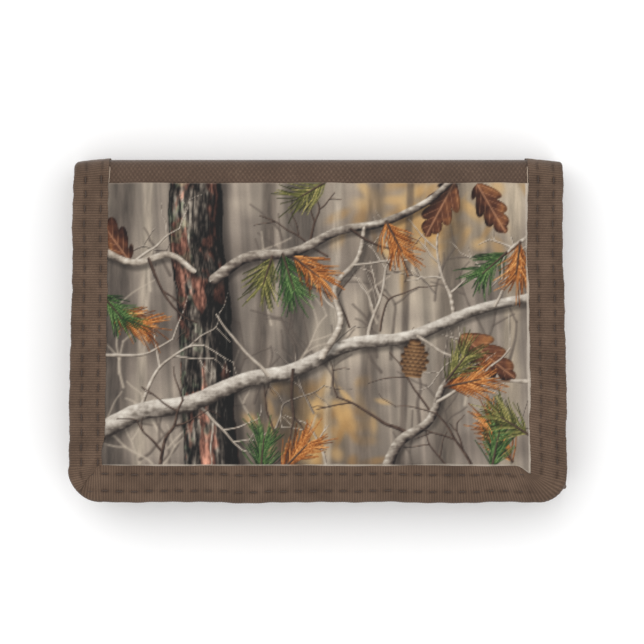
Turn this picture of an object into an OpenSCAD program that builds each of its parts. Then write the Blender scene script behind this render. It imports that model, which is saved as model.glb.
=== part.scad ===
// Trifold wallet in woven nylon, closed and lying on its back.
// +X runs along the folds, +Y towards the top fold, +Z out of the printed front.
// The origin is the middle of the footprint, on the surface the wallet lies on.

/* [Overall] */
// Closed width, along the folds
wallet_w = 120.6; // [112:0.2:130]
// Closed height, across the folds
wallet_h = 82.6; // [80:0.2:90]
// Radius of the flaps' free corners
corner_r = 8; // [5:0.5:10]
// Height of the inner flap's free edge above the middle of the wallet
inner_tip_y = 16; // [12:0.5:16]

/* [Fabric] */
// Thickness of the outer nylon
shell_t = 0.5; // [0.4:0.05:0.5]
// Thickness of linings and pocket panels
lining_t = 0.4; // [0.3:0.05:0.4]
// Thickness of the printed cloth
print_t = 0.3; // [0.2:0.05:0.3]
// Thickness of the binding tape
tape_t = 0.4; // [0.3:0.05:0.4]
// Width of binding tape that shows on each face
tape_w = 8.8; // [7:0.2:9]
// Thickness of the clear window
window_t = 0.3; // [0.2:0.05:0.3]

/* [Pockets] */
// Room in the banknote compartment
bill_gap = 1.4; // [1.2:0.1:1.4]
// Room in each card pocket
card_gap = 0.85; // [0.8:0.05:0.9]
// Room in the coin pocket
coin_gap = 1.7; // [1.7:0.1:2]
// Height of the plain strip above the printed cloth
facing_h = 5.5; // [4:0.5:8]
// Height of the front flap's card pocket mouth above the middle
front_pocket_y = 5; // [0:0.5:7]
// Height of the back card pocket's mouth above the middle
card_pocket_y = 18; // [10:0.5:18]
// Height of the window pocket's mouth above the middle
window_pocket_y = 14; // [8:0.5:16]
// Height of the inner flap's slip pocket mouth above the middle
slip_pocket_y = -2; // [-10:0.5:0]

/* [Closure and zip] */
// Length of the hook patch
hook_l = 76; // [50:1:90]
// Depth of the hook patch
hook_d = 17; // [12:0.5:17]
// Thickness of the hook tape and of the loop tape
velcro_t = 0.9; // [0.7:0.1:0.9]
// Height of the zip's middle line above the middle
zip_y = 28; // [27:0.5:28.5]
// Length of the row of zip teeth
chain_l = 88; // [80:1:92]
// Distance from one zip tooth to the next
tooth_pitch = 1.6; // [1.4:0.1:2.4]
// Distance between stitches
stitch_pitch = 3.6; // [3:0.1:5]

/* [Hidden] */
$fn = 48;

// Clearances: panel end to fold line, flap to flap, part to part on the zip
crease_gap = 0.35;
seam_gap = 0.3;
flap_gap = 0.35;
lay = 0.05;

// Levels of the back panel's layers, from the table up
back_shell_z = tape_t;
back_lining_z = back_shell_z + shell_t + bill_gap;
coin_front_z = back_lining_z + lining_t + coin_gap;
card_pocket_z = coin_front_z + lining_t + card_gap;
window_z = card_pocket_z + lining_t + card_gap;
frame_z = window_z + window_t;
back_top_z = frame_z + lining_t + tape_t;
// Levels of the inner flap's layers
slip_z = back_top_z + flap_gap + tape_t;
inner_lining_z = slip_z + lining_t + card_gap;
inner_shell_z = inner_lining_z + lining_t + bill_gap;
inner_top_z = inner_shell_z + shell_t + tape_t;
loop_z = inner_shell_z + shell_t;
// Levels of the front flap's layers
hook_z = loop_z + velcro_t + lay;
front_pocket_z = hook_z + velcro_t;
front_lining_z = front_pocket_z + lining_t + card_gap;
front_shell_z = front_lining_z + lining_t + bill_gap;
print_z = front_shell_z + shell_t;
front_top_z = print_z + print_t + tape_t;

// Fold lines: the middle of the outer nylon, at each end of both spines
top_y = wallet_h / 2 - tape_t - shell_t / 2;
bottom_inset = 3.5;
bottom_y = -(top_y - bottom_inset);
back_crease_z = back_shell_z + shell_t / 2;
front_crease_z = front_shell_z + shell_t / 2;
inner_crease_z = inner_shell_z + shell_t / 2;

// How deep a spine is, from its outer nylon's middle to its inner tape
spine_depth = shell_t / 2 + bill_gap + lining_t + tape_t;
top_end_y = top_y - spine_depth - seam_gap;
bottom_end_y = bottom_y + spine_depth + seam_gap;

// Widths of the three panels
front_w = wallet_w;
back_w = wallet_w - 0.6;
inner_w = wallet_w - 1.2;

// Front flap: free edge, and where its thicker layers end
front_edge_y = -wallet_h / 2;
front_tape_y = front_edge_y + tape_w;
print_top_y = wallet_h / 2 - facing_h;
tip_tape_y = inner_tip_y - tape_w;

// Zip: half gap between the rows, tooth length, tape width, ends of the chain
row_gap = 0.35;
tooth_l = 1.3;
tooth_t = 1.5;
tooth_z = coin_front_z - 1;
tape_z = coin_front_z - lining_t - 0.1;
zip_tape_w = 9;
chain_x = -46;
stop_l = 1.6;
panel_lap = 4.2;

// Slider and pull
slider_l = 8;
slider_w = 7;
slider_x = chain_x + slider_l / 2 + 0.6;
plate_t = 0.5;
pull_l = 14;
pull_w = 5;
pin_r = 0.45;
pin_z = coin_front_z + 2.2;

nylon = [0.36, 0.28, 0.23];
lining_colour = [0.24, 0.18, 0.15];
tape_colour = [0.40, 0.31, 0.26];
thread_colour = [0.30, 0.21, 0.17];

// A flat rectangle of cloth of width w, from y0 to y1, with its lower face at z
module cloth(w, y0, y1, z, t) {
    translate([-w / 2, y0, z]) cube([w, y1 - y0, t]);
}

// Outline of a flap's free end: width w, from y0 to y1, with round corners at y1
module free_end(w, y0, y1, r) {
    root_y = min(y0, y1 - 2 * r);
    intersection() {
        translate([-w / 2, y0]) square([w, y1 - y0]);
        union() {
            translate([-w / 2, root_y]) square([w, y1 - r - root_y]);
            translate([-w / 2 + r, root_y]) square([w - 2 * r, y1 - root_y]);
            for (s = [-1, 1]) translate([s * (w / 2 - r), y1 - r]) circle(r);
        }
    }
}

// Cloth with round corners at its upper end
module round_cloth(w, y0, y1, z, t, r) {
    translate([0, 0, z]) linear_extrude(t) free_end(w, y0, y1, r);
}

// Binding tape folded over a straight side edge. side is -1 or 1, z0 and z1 bound the layers it holds
module side_tape(side, w, y0, y1, z0, z1) {
    edge = side * w / 2;
    module strip(inset, width, z, t) {
        x = side > 0 ? edge - inset - width : edge + inset;
        translate([x, y0, z]) cube([width, y1 - y0, t]);
    }
    strip(0, tape_w, z0 - tape_t, tape_t);
    strip(0, tape_w, z1, tape_t);
    strip(0, tape_t, z0, z1 - z0);
}

// Binding tape folded over a flap's free end. sign is 1 for an end at +Y and -1 for one at -Y
module end_tape(w, edge_y, z0, z1, sign) {
    mirror([0, sign > 0 ? 0 : 1, 0]) {
        y1 = abs(edge_y) * sign * (edge_y > 0 ? 1 : -1);
        y0 = y1 - tape_w;
        for (z = [z0 - tape_t, z1]) round_cloth(w, y0, y1, z, tape_t, corner_r);
        translate([0, 0, z0]) linear_extrude(z1 - z0) difference() {
            free_end(w, y0, y1, corner_r);
            translate([0, -lay]) free_end(w - 2 * tape_t, y0, y1 - tape_t + lay, corner_r - tape_t);
        }
    }
}

// Binding tape on the end of a spine, whose layers run from y0 to y1
module spine_tape(side, y0, y1, z0, z1) {
    edge = side * back_w / 2;
    module strip(width, y, t) {
        x = side > 0 ? edge - width : edge;
        translate([x, y, z0]) cube([width, t, z1 - z0]);
    }
    strip(tape_w, y0 - tape_t, tape_t);
    strip(tape_w, y1, tape_t);
    strip(tape_t, y0, y1 - y0);
}

// Tape folded over a pocket's mouth: a strip on the outer face and a lip over the edge
module mouth_trim(w, y, z, down) {
    trim_h = 5;
    translate([-w / 2, y - trim_h, down ? z - 0.25 : z + lining_t]) cube([w, trim_h + 0.3, 0.25]);
    translate([-w / 2, y, z]) cube([w, 0.3, lining_t]);
}

// A row of stitches along Y or X, lying on a face at z
module stitch_row(x, y, length, z, along_x) {
    stitch_l = stitch_pitch * 0.72;
    count = floor(length / stitch_pitch);
    for (i = [0 : count - 1]) {
        at = (length - count * stitch_pitch) / 2 + (i + 0.14) * stitch_pitch;
        size = along_x ? [stitch_l, 0.45, 0.15] : [0.45, stitch_l, 0.15];
        translate(along_x ? [x + at, y - 0.22, z] : [x - 0.22, y + at, z]) cube(size);
    }
}

panel_w = back_w - 2 * tape_t - 2 * lay;
front_panel_w = front_w - 2 * tape_t - 2 * lay;
inner_panel_w = inner_w - 2 * tape_t - 2 * lay;
clear_w = wallet_w - 2 * tape_w - 4;

// Back panel
module back_shell() {
    color(nylon) cloth(panel_w, bottom_y + crease_gap, top_y - crease_gap, back_shell_z, shell_t);
}
module back_lining() {
    color(lining_colour) cloth(panel_w, bottom_end_y, top_end_y, back_lining_z, lining_t);
}
module coin_pocket_front() {
    color(lining_colour)
        cloth(panel_w, bottom_end_y, zip_y - panel_lap - 1.4, coin_front_z, lining_t);
}
module coin_pocket_header() {
    color(lining_colour)
        cloth(panel_w, zip_y + panel_lap + 1.4, top_end_y, coin_front_z, lining_t);
}
module zipper_tape(side) {
    near = row_gap + tooth_l - 0.3;
    y = side > 0 ? zip_y + near : zip_y - near - zip_tape_w;
    color("saddlebrown") translate([chain_x - 3, y, tape_z])
        cube([chain_l + 6, side > 0 ? top_end_y - y - 0.2 : zip_tape_w, lining_t]);
}
module zipper_teeth(side) {
    count = floor((chain_l - 2 * stop_l) / tooth_pitch);
    y = side > 0 ? zip_y + row_gap : zip_y - row_gap - tooth_l + 0.3;
    shift = side > 0 ? 0 : tooth_pitch / 2;
    color("dimgray") for (i = [0 : count - 1])
        translate([chain_x + stop_l + 0.2 + i * tooth_pitch + shift, y, tooth_z])
            cube([tooth_pitch * 0.55, tooth_l - 0.3, tooth_t]);
}
module zipper_end_stops() {
    far_x = chain_x + chain_l;
    color("gray") for (x = [chain_x - stop_l, far_x], s = [-1, 1])
        translate([x, s > 0 ? zip_y + row_gap : zip_y - row_gap - tooth_l + 0.3, tooth_z])
            cube([stop_l, tooth_l - 0.3, tooth_t]);
}
module card_pocket() {
    color(lining_colour) cloth(panel_w, bottom_end_y, card_pocket_y, card_pocket_z, lining_t);
}
module card_pocket_trim() {
    color(tape_colour) mouth_trim(clear_w, card_pocket_y, card_pocket_z, false);
}
window_x = 78;
window_y0 = bottom_end_y + 6;
window_y1 = window_pocket_y - 5;
module id_window_frame() {
    color(lining_colour) difference() {
        cloth(panel_w, bottom_end_y, window_pocket_y, frame_z, lining_t);
        translate([-window_x / 2, window_y0, frame_z - 1])
            cube([window_x, window_y1 - window_y0, 3]);
    }
}
module id_window() {
    color([0.85, 0.9, 0.92, 0.4])
        cloth(window_x + 8, window_y0 - 4, window_y1 + 3, window_z, window_t);
}
module back_tape_left() {
    color(tape_colour)
        side_tape(-1, back_w, bottom_end_y, top_end_y, back_shell_z, frame_z + lining_t);
}
module back_tape_right() {
    color(tape_colour)
        side_tape(1, back_w, bottom_end_y, top_end_y, back_shell_z, back_shell_z + shell_t);
}
module back_mouth_tape() {
    color(tape_colour)
        side_tape(1, back_w, bottom_end_y, top_end_y, back_lining_z, frame_z + lining_t);
}

// Spines: the stretch of outer nylon and lining between two folds
spine_margin = 0.75;
module spine_shell(y, z1) {
    color(nylon) translate([-panel_w / 2, y - shell_t / 2, back_crease_z + crease_gap])
        cube([panel_w, shell_t, z1 - back_crease_z - 2 * crease_gap]);
}
module spine_lining(y, z1) {
    color(lining_colour) translate([-panel_w / 2, y - lining_t / 2, back_crease_z + spine_margin])
        cube([panel_w, lining_t, z1 - back_crease_z - 2 * spine_margin]);
}
// Tape on a spine's closed side, its nylon's open side and its lining's open side
module spine_tapes(out, crease_y, z1, which) {
    shell_out = crease_y + out * shell_t / 2;
    shell_in = crease_y - out * shell_t / 2;
    lining_out = shell_in - out * bill_gap;
    lining_in = lining_out - out * lining_t;
    z0 = back_crease_z + spine_margin;
    z2 = z1 - spine_margin;
    color(tape_colour) {
        if (which == "left")
            spine_tape(-1, min(shell_out, lining_in), max(shell_out, lining_in), z0, z2);
        if (which == "right")
            spine_tape(1, min(shell_out, shell_in), max(shell_out, shell_in), z0, z2);
        if (which == "mouth")
            spine_tape(1, min(lining_out, lining_in), max(lining_out, lining_in), z0, z2);
    }
}
lining_shift = shell_t / 2 + bill_gap + lining_t / 2;
module top_spine_shell() { spine_shell(top_y, front_crease_z); }
module top_spine_lining() { spine_lining(top_y - lining_shift, front_crease_z); }
module top_spine_tape_left() { spine_tapes(1, top_y, front_crease_z, "left"); }
module top_spine_tape_right() { spine_tapes(1, top_y, front_crease_z, "right"); }
module top_spine_mouth_tape() { spine_tapes(1, top_y, front_crease_z, "mouth"); }
module bottom_spine_shell() { spine_shell(bottom_y, inner_crease_z); }
module bottom_spine_lining() { spine_lining(bottom_y + lining_shift, inner_crease_z); }
module bottom_spine_tape_left() { spine_tapes(-1, bottom_y, inner_crease_z, "left"); }
module bottom_spine_tape_right() { spine_tapes(-1, bottom_y, inner_crease_z, "right"); }
module bottom_spine_mouth_tape() { spine_tapes(-1, bottom_y, inner_crease_z, "mouth"); }

// Front flap. Its free end is at -Y, so its layers are mirrored free ends
module front_layer(y1, z, t) {
    mirror([0, 1, 0])
        round_cloth(front_panel_w, -y1, -front_edge_y - tape_t - lay, z, t, corner_r - tape_t);
}
module front_shell() { color(nylon) front_layer(top_y - crease_gap, front_shell_z, shell_t); }
module fold_facing() {
    color(nylon) cloth(front_panel_w, print_top_y, top_y - crease_gap, print_z, print_t);
}
module printed_panel() { color("tan") front_layer(print_top_y, print_z, print_t); }
module front_lining() { color(lining_colour) front_layer(top_end_y, front_lining_z, lining_t); }
module front_card_pocket() {
    color(lining_colour) front_layer(front_pocket_y, front_pocket_z, lining_t);
}
module front_card_pocket_trim() {
    color(tape_colour) mouth_trim(clear_w, front_pocket_y, front_pocket_z, true);
}
module hook_patch() {
    color([0.2, 0.15, 0.12]) translate([-hook_l / 2, front_tape_y + 1.5, hook_z])
        cube([hook_l, hook_d, velcro_t]);
}
module front_tape_left() {
    top = print_z + print_t;
    color(tape_colour) {
        side_tape(-1, front_w, front_tape_y, front_pocket_y, front_pocket_z, top);
        side_tape(-1, front_w, front_pocket_y, top_end_y, front_lining_z, top);
    }
}
module front_tape_bottom() {
    color(tape_colour) end_tape(front_w, front_edge_y, front_pocket_z, print_z + print_t, -1);
}
module front_tape_right() {
    color(tape_colour)
        side_tape(1, front_w, front_tape_y, top_end_y, front_shell_z, print_z + print_t);
}
module front_mouth_tape() {
    top = front_lining_z + lining_t;
    color(tape_colour) {
        side_tape(1, front_w, front_tape_y, front_pocket_y, front_pocket_z, top);
        side_tape(1, front_w, front_pocket_y, top_end_y, front_lining_z, top);
    }
}
outer_row = 2.5;
inner_row = 6.5;
module front_stitching() {
    color(thread_colour) {
        for (s = [-1, 1], row = [outer_row, inner_row])
            stitch_row(s * (front_w / 2 - row), front_edge_y + tape_w + 1,
                top_end_y - front_edge_y - tape_w - 1, front_top_z, false);
        for (row = [outer_row, inner_row])
            stitch_row(-front_w / 2 + tape_w, front_edge_y + row,
                front_w - 2 * tape_w, front_top_z, true);
    }
}

// Inner flap
module inner_layer(y0, z, t) {
    round_cloth(inner_panel_w, y0, inner_tip_y - tape_t - lay, z, t, corner_r - tape_t);
}
module inner_shell() { color(nylon) inner_layer(bottom_y + crease_gap, inner_shell_z, shell_t); }
module inner_lining() { color(lining_colour) inner_layer(bottom_end_y, inner_lining_z, lining_t); }
module slip_pocket() {
    color(lining_colour) cloth(inner_panel_w, bottom_end_y, slip_pocket_y, slip_z, lining_t);
}
module slip_pocket_trim() {
    color(tape_colour) mouth_trim(clear_w, slip_pocket_y, slip_z, true);
}
module loop_patch() {
    color([0.22, 0.17, 0.13]) translate([-hook_l / 2 - 2, front_tape_y, loop_z])
        cube([hook_l + 4, hook_d + 3, velcro_t]);
}
module inner_tape_left() {
    color(tape_colour) side_tape(-1, inner_w, bottom_end_y, tip_tape_y, slip_z, loop_z);
}
module inner_tape_tip() {
    color(tape_colour) end_tape(inner_w, inner_tip_y, inner_lining_z, loop_z, 1);
}
module inner_tape_right() {
    color(tape_colour) side_tape(1, inner_w, bottom_end_y, tip_tape_y, inner_shell_z, loop_z);
}
module inner_mouth_tape() {
    color(tape_colour)
        side_tape(1, inner_w, bottom_end_y, tip_tape_y, slip_z, inner_lining_z + lining_t);
}
module inner_stitching() {
    length = inner_tip_y - tape_w - bottom_end_y - 1;
    color(thread_colour) {
        for (s = [-1, 1], row = [outer_row, inner_row])
            stitch_row(s * (inner_w / 2 - row), bottom_end_y, length, inner_top_z, false);
        for (row = [outer_row, inner_row])
            stitch_row(-inner_w / 2 + tape_w, inner_tip_y - row, inner_w - 2 * tape_w,
                inner_top_z, true);
    }
}

// Zip slider: two plates joined by a thin web between the rows, and a bail for the pull
module slider_plate(z) {
    translate([slider_x, zip_y, z]) linear_extrude(plate_t) union() {
        translate([-slider_l / 2, -slider_w / 2]) square([slider_l - 2, slider_w]);
        translate([slider_l / 2 - 3, -slider_w / 2 + 1]) square([3, slider_w - 2]);
        for (s = [-1, 1]) translate([slider_l / 2 - 2, s * (slider_w / 2 - 2)]) circle(2);
    }
}
bail_w = 1.2;
module zipper_slider() {
    top = tooth_z + tooth_t + 0.1;
    color("silver") {
        slider_plate(tooth_z - 0.1 - plate_t);
        slider_plate(top);
        translate([slider_x - slider_l / 2 + 0.5, zip_y - 0.2, tooth_z - 0.1])
            cube([3, 0.4, tooth_t + 0.2]);
        for (s = [-1, 1]) translate([slider_x - 1.4, zip_y + s * (pull_w / 2 - 0.2) - bail_w / 2, top])
            cube([2.8, bail_w, pin_z - top - pin_r]);
        translate([slider_x, zip_y - pull_w / 2 - 0.4, pin_z]) rotate([-90, 0, 0])
            cylinder(r = pin_r, h = pull_w + 0.8);
        for (s = [-1, 1]) translate([slider_x - 1.4, zip_y + s * (pull_w / 2 - 0.2) - bail_w / 2, pin_z - pin_r])
            cube([2.8, bail_w, 2 * pin_r]);
    }
}

// Zip pull: an eye on the slider's pin, a neck and a flat tab with a hole
module zipper_pull() {
    eye_r = 1.1;
    eye_w = 2.4;
    tab_t = 1;
    color("silver") difference() {
        union() {
            translate([slider_x, zip_y - eye_w / 2, pin_z]) rotate([-90, 0, 0])
                cylinder(r = eye_r, h = eye_w);
            translate([slider_x, zip_y - eye_w / 2, pin_z - tab_t / 2]) cube([5, eye_w, tab_t]);
            translate([slider_x + 4, zip_y - pull_w / 2, pin_z - tab_t / 2])
                cube([pull_l - 4 - pull_w / 2, pull_w, tab_t]);
            translate([slider_x + pull_l - pull_w / 2, zip_y, pin_z - tab_t / 2])
                cylinder(r = pull_w / 2, h = tab_t);
        }
        translate([slider_x, zip_y - eye_w, pin_z]) rotate([-90, 0, 0])
            cylinder(r = pin_r + 0.06, h = 2 * eye_w);
        translate([slider_x + pull_l - pull_w / 2, zip_y, pin_z - 2]) cylinder(r = 1.2, h = 4);
    }
}

back_shell();
back_lining();
coin_pocket_front();
coin_pocket_header();
zipper_tape(-1);  // zipper_tape_lower
zipper_tape(1);  // zipper_tape_upper
zipper_teeth(-1);  // zipper_teeth_lower
zipper_teeth(1);  // zipper_teeth_upper
zipper_end_stops();
card_pocket();
card_pocket_trim();
id_window_frame();
id_window();
back_tape_left();
back_tape_right();
back_mouth_tape();
top_spine_shell();
top_spine_lining();
top_spine_tape_left();
top_spine_tape_right();
top_spine_mouth_tape();
front_shell();
fold_facing();
printed_panel();
front_lining();
front_card_pocket();
front_card_pocket_trim();
hook_patch();
front_tape_left();
front_tape_bottom();
front_tape_right();
front_mouth_tape();
front_stitching();
bottom_spine_shell();
bottom_spine_lining();
bottom_spine_tape_left();
bottom_spine_tape_right();
bottom_spine_mouth_tape();
inner_shell();
inner_lining();
slip_pocket();
slip_pocket_trim();
loop_patch();
inner_tape_left();
inner_tape_tip();
inner_tape_right();
inner_mouth_tape();
inner_stitching();
zipper_slider();
zipper_pull();
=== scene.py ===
"""A trifold nylon wallet, closed and lying on its back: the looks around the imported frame.

Lengths below are in millimetres until mesh_piece() turns them into metres.
+X runs along the folds, +Y towards the top fold and +Z out of the printed front.
"""

import math

import bpy
import numpy as np
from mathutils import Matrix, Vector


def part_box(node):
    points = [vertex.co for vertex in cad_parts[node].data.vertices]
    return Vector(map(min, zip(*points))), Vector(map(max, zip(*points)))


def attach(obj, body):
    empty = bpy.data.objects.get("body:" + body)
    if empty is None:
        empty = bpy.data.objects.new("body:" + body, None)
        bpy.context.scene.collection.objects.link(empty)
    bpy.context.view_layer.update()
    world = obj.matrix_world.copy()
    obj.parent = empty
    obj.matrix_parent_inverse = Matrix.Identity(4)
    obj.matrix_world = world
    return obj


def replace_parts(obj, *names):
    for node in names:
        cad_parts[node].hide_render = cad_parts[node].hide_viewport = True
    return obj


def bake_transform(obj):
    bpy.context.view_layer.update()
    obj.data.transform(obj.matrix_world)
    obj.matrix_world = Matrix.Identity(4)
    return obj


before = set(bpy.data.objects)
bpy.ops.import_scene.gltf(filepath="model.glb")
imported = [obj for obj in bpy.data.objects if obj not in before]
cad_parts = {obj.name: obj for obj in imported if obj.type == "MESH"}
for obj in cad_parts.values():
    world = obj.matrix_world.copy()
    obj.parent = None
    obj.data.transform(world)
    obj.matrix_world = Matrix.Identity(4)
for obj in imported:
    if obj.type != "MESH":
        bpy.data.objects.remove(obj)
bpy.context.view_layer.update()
MM = 0.001

# ---------------------------------------------------------------- the frame, in millimetres


def low(node, axis):
    """Lowest coordinate of a CAD node along axis 0, 1 or 2."""
    return float(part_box(node)[0][axis]) / MM


def high(node, axis):
    """Highest coordinate of a CAD node along axis 0, 1 or 2."""
    return float(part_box(node)[1][axis]) / MM


X, Y, Z = 0, 1, 2
TAPE = 0.4
CLOTH = 0.4
TOP_Y = (low("top_spine_shell", Y) + high("top_spine_shell", Y)) / 2
BOTTOM_Y = (low("bottom_spine_shell", Y) + high("bottom_spine_shell", Y)) / 2
FRONT_Z = (low("front_shell", Z) + high("front_shell", Z)) / 2
BACK_Z = (low("back_shell", Z) + high("back_shell", Z)) / 2
INNER_Z = (low("inner_shell", Z) + high("inner_shell", Z)) / 2
FRONT_TOP_Z = high("front_tape_left", Z)
PRINT_Z = high("printed_panel", Z)
PRINT_TOP_Y = high("printed_panel", Y)
FRONT_EDGE_Y = low("front_tape_bottom", Y)
TIP_Y = high("inner_tape_tip", Y)
TAPE_W = high("front_tape_left", X) - low("front_tape_left", X)
HALF_W = high("front_tape_bottom", X)
BACK_HALF_W = high("back_mouth_tape", X)
INNER_HALF_W = high("inner_tape_tip", X)
CORNER_R = 8.0
CREASE_R = 2.6
SPINE_BULGE = 0.7
SPINE_IN = TOP_Y - low("top_spine_tape_left", Y)
SPINE_OUT = high("top_spine_tape_left", Y) - TOP_Y
LINING_IN = TOP_Y - (low("top_spine_lining", Y) + high("top_spine_lining", Y)) / 2
FRONT_IN_Z = low("front_tape_bottom", Z)
TOP_DROOP = 1.0
TOP_DRAW = 1.2
RIB = 0.62
STITCH_PITCH = 3.6
TOOTH_PITCH = 1.6
FIRST_STITCH_Y = FRONT_EDGE_Y + 9.6
FIRST_STITCH_X = -HALF_W + 5.2
SHELL_IN = 0.25 + TAPE
RIGHT_CORNER_R = CORNER_R - 1.2
SHARP_ANGLE = math.radians(58)

# ---------------------------------------------------------------- mesh helpers


def wobble(t, seed, size, waves=4, longest=38.0):
    """A smooth irregular wave of about +-size along t."""
    rng = np.random.default_rng(seed)
    total = np.zeros_like(np.asarray(t, float))
    for i in range(waves):
        length = longest / (1.75**i) * rng.uniform(0.8, 1.25)
        total += np.sin(2 * np.pi * (t / length + rng.random())) / (1.3**i)
    return total * size / 2.0


def smoothstep(a, b, t):
    """0 before a, 1 after b and smooth between them."""
    k = np.clip((t - a) / (b - a), 0, 1)
    return k * k * (3 - 2 * k)


def settle(verts):
    """The wallet's small sags: its sides draw in towards the drooping top, and its inner layers sit back."""
    x, y, z = verts.T.copy()
    draw = TOP_DRAW * smoothstep(FRONT_EDGE_Y, TOP_Y, y)
    below = smoothstep(FRONT_IN_Z - 0.3, FRONT_IN_Z - 1.1, z) * smoothstep(TOP_Y - 2, TOP_Y - 14, y)
    left = 0.5 + 2.2 * smoothstep(BOTTOM_Y + 6, BOTTOM_Y, y)
    right = 0.45 - smoothstep(-16, -26, y)
    x -= np.sign(x) * (draw + below * np.where(x < 0, left, right)) * smoothstep(34.0, 60.0, np.abs(x))
    y -= TOP_DROOP * smoothstep(49.0, 61.0, np.abs(x)) * smoothstep(TOP_Y - 8, TOP_Y, y)
    return np.column_stack([x, y, z])


def mesh_piece(name, verts, faces, material, cloth, color=None):
    """Makes a mesh object from verts in mm. cloth holds each point's place on its flat cloth, in mm."""
    mesh = bpy.data.meshes.new(name)
    verts = settle(np.asarray(verts, float)) * MM
    mesh.from_pydata(verts.tolist(), [], [tuple(int(i) for i in f) for f in faces])
    mesh.update()
    places = np.asarray(cloth, np.float32).ravel()
    mesh.attributes.new("cloth", "FLOAT_VECTOR", "POINT").data.foreach_set("vector", places)
    if color is not None:
        values = np.ones((len(verts), 4), np.float32)
        values[:, :3] = color
        mesh.color_attributes.new("print", "FLOAT_COLOR", "POINT").data.foreach_set("color", values.ravel())
    mesh.polygons.foreach_set("use_smooth", [True] * len(mesh.polygons))
    mesh.set_sharp_from_angle(angle=SHARP_ANGLE)
    mesh.materials.append(material)
    piece = bpy.data.objects.new(name, mesh)
    bpy.context.collection.objects.link(piece)
    return piece


def grid_faces(rows, cols, start=0, flip=False, wrap=False):
    """Quads of a grid of points; wrap joins its last column to its first."""
    i, j = np.meshgrid(np.arange(rows - 1), np.arange(cols if wrap else cols - 1), indexing="ij")
    k = (j + 1) % cols
    quads = np.stack([i * cols + j, i * cols + k, (i + 1) * cols + k, (i + 1) * cols + j], -1).reshape(-1, 4)
    return (quads[:, ::-1] if flip else quads) + start


def slab(top, bottom, hole=None):
    """Points and faces of a closed sheet between two grids of one size. hole marks the quads left out."""
    rows, cols = top.shape[:2]
    count = rows * cols
    verts = np.concatenate([top.reshape(-1, 3), bottom.reshape(-1, 3)])
    quads = grid_faces(rows, cols)
    if hole is not None:
        quads = quads[~hole.ravel()]
    edges = np.stack([quads, np.roll(quads, -1, axis=1)], -1).reshape(-1, 2)
    forward = edges[:, 0] * count + edges[:, 1]
    backward = edges[:, 1] * count + edges[:, 0]
    rim = edges[~np.isin(forward, backward)]
    side = np.stack([rim[:, 1], rim[:, 0], rim[:, 0] + count, rim[:, 1] + count], -1)
    return verts, np.concatenate([quads, quads[:, ::-1] + count, side])


def capped_grid(top, thickness):
    """Points and faces of a closed sheet whose underside is one flat face, for a finely divided top."""
    rows, cols = top.shape[:2]
    ids = np.arange(rows * cols).reshape(rows, cols)
    rim = np.concatenate([ids[0, :-1], ids[:-1, -1], ids[-1, :0:-1], ids[:0:-1, 0]])
    flat = top.reshape(-1, 3)
    under = flat[rim] - np.array([0, 0, thickness])
    lower = rows * cols + np.arange(len(rim))
    side = np.stack([np.roll(rim, -1), rim, lower, np.roll(lower, -1)], -1)
    faces = grid_faces(rows, cols).tolist() + side.tolist() + [lower[::-1].tolist()]
    return np.concatenate([flat, under]), faces, rim


def fold_path(a, corner, b, radius, counts):
    """Points in (y, z) from a round a corner to b: straight, arc and straight, with counts of each."""
    a, corner, b = (np.asarray(p, float) for p in (a, corner, b))
    da = (a - corner) / np.linalg.norm(a - corner)
    db = (b - corner) / np.linalg.norm(b - corner)
    centre = corner + (da + db) * radius
    turn = np.linspace(0, np.pi / 2, counts[1] + 2)[1:-1, None]
    arc = centre - db * radius * np.cos(turn) - da * radius * np.sin(turn)
    first = np.linspace(a, corner + da * radius, counts[0])
    last = np.linspace(corner + db * radius, b, counts[2])
    return np.concatenate([first, arc, last])


def bulged(path, y0, sign, z0, z1):
    """Pushes the part of a path that lies on a spine outwards, most at its middle."""
    path = path.copy()
    near = 1 - smoothstep(2.0, 6.0, np.abs(path[:, 0] - y0))
    lift = np.sin(np.pi * np.clip((path[:, 1] - z0) / (z1 - z0), 0, 1))
    path[:, 0] += sign * SPINE_BULGE * near * lift
    return path


def lengths(points):
    """Distance along a line of points, from its first."""
    steps = np.linalg.norm(np.diff(points, axis=0), axis=1)
    return np.concatenate([[0], np.cumsum(steps)])


# ---------------------------------------------------------------- binding tape

EDGE_R = 1.1


def u_profile(width, depth, n_face, n_arc, n_side):
    """(distance in from the edge, distance down from the top face, normal) round a folded tape's outside."""
    r = min(EDGE_R, depth * 0.48)
    face = np.linspace(width, r, n_face)
    turn = np.linspace(0, np.pi / 2, n_arc + 2)[1:-1]
    side = np.linspace(r, depth - r, n_side)
    a = np.concatenate([face, r - r * np.sin(turn), np.zeros(n_side), r - r * np.cos(turn), face[::-1]])
    b = np.concatenate([np.zeros(n_face), r - r * np.cos(turn), side,
                        depth - r + r * np.sin(turn), np.full(n_face, depth)])
    na = np.concatenate([np.zeros(n_face), np.sin(turn), np.ones(n_side), np.cos(turn), np.zeros(n_face)])
    nb = np.concatenate([-np.ones(n_face), -np.cos(turn), np.zeros(n_side), np.sin(turn), np.ones(n_face)])
    return a, b, na, nb


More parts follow.
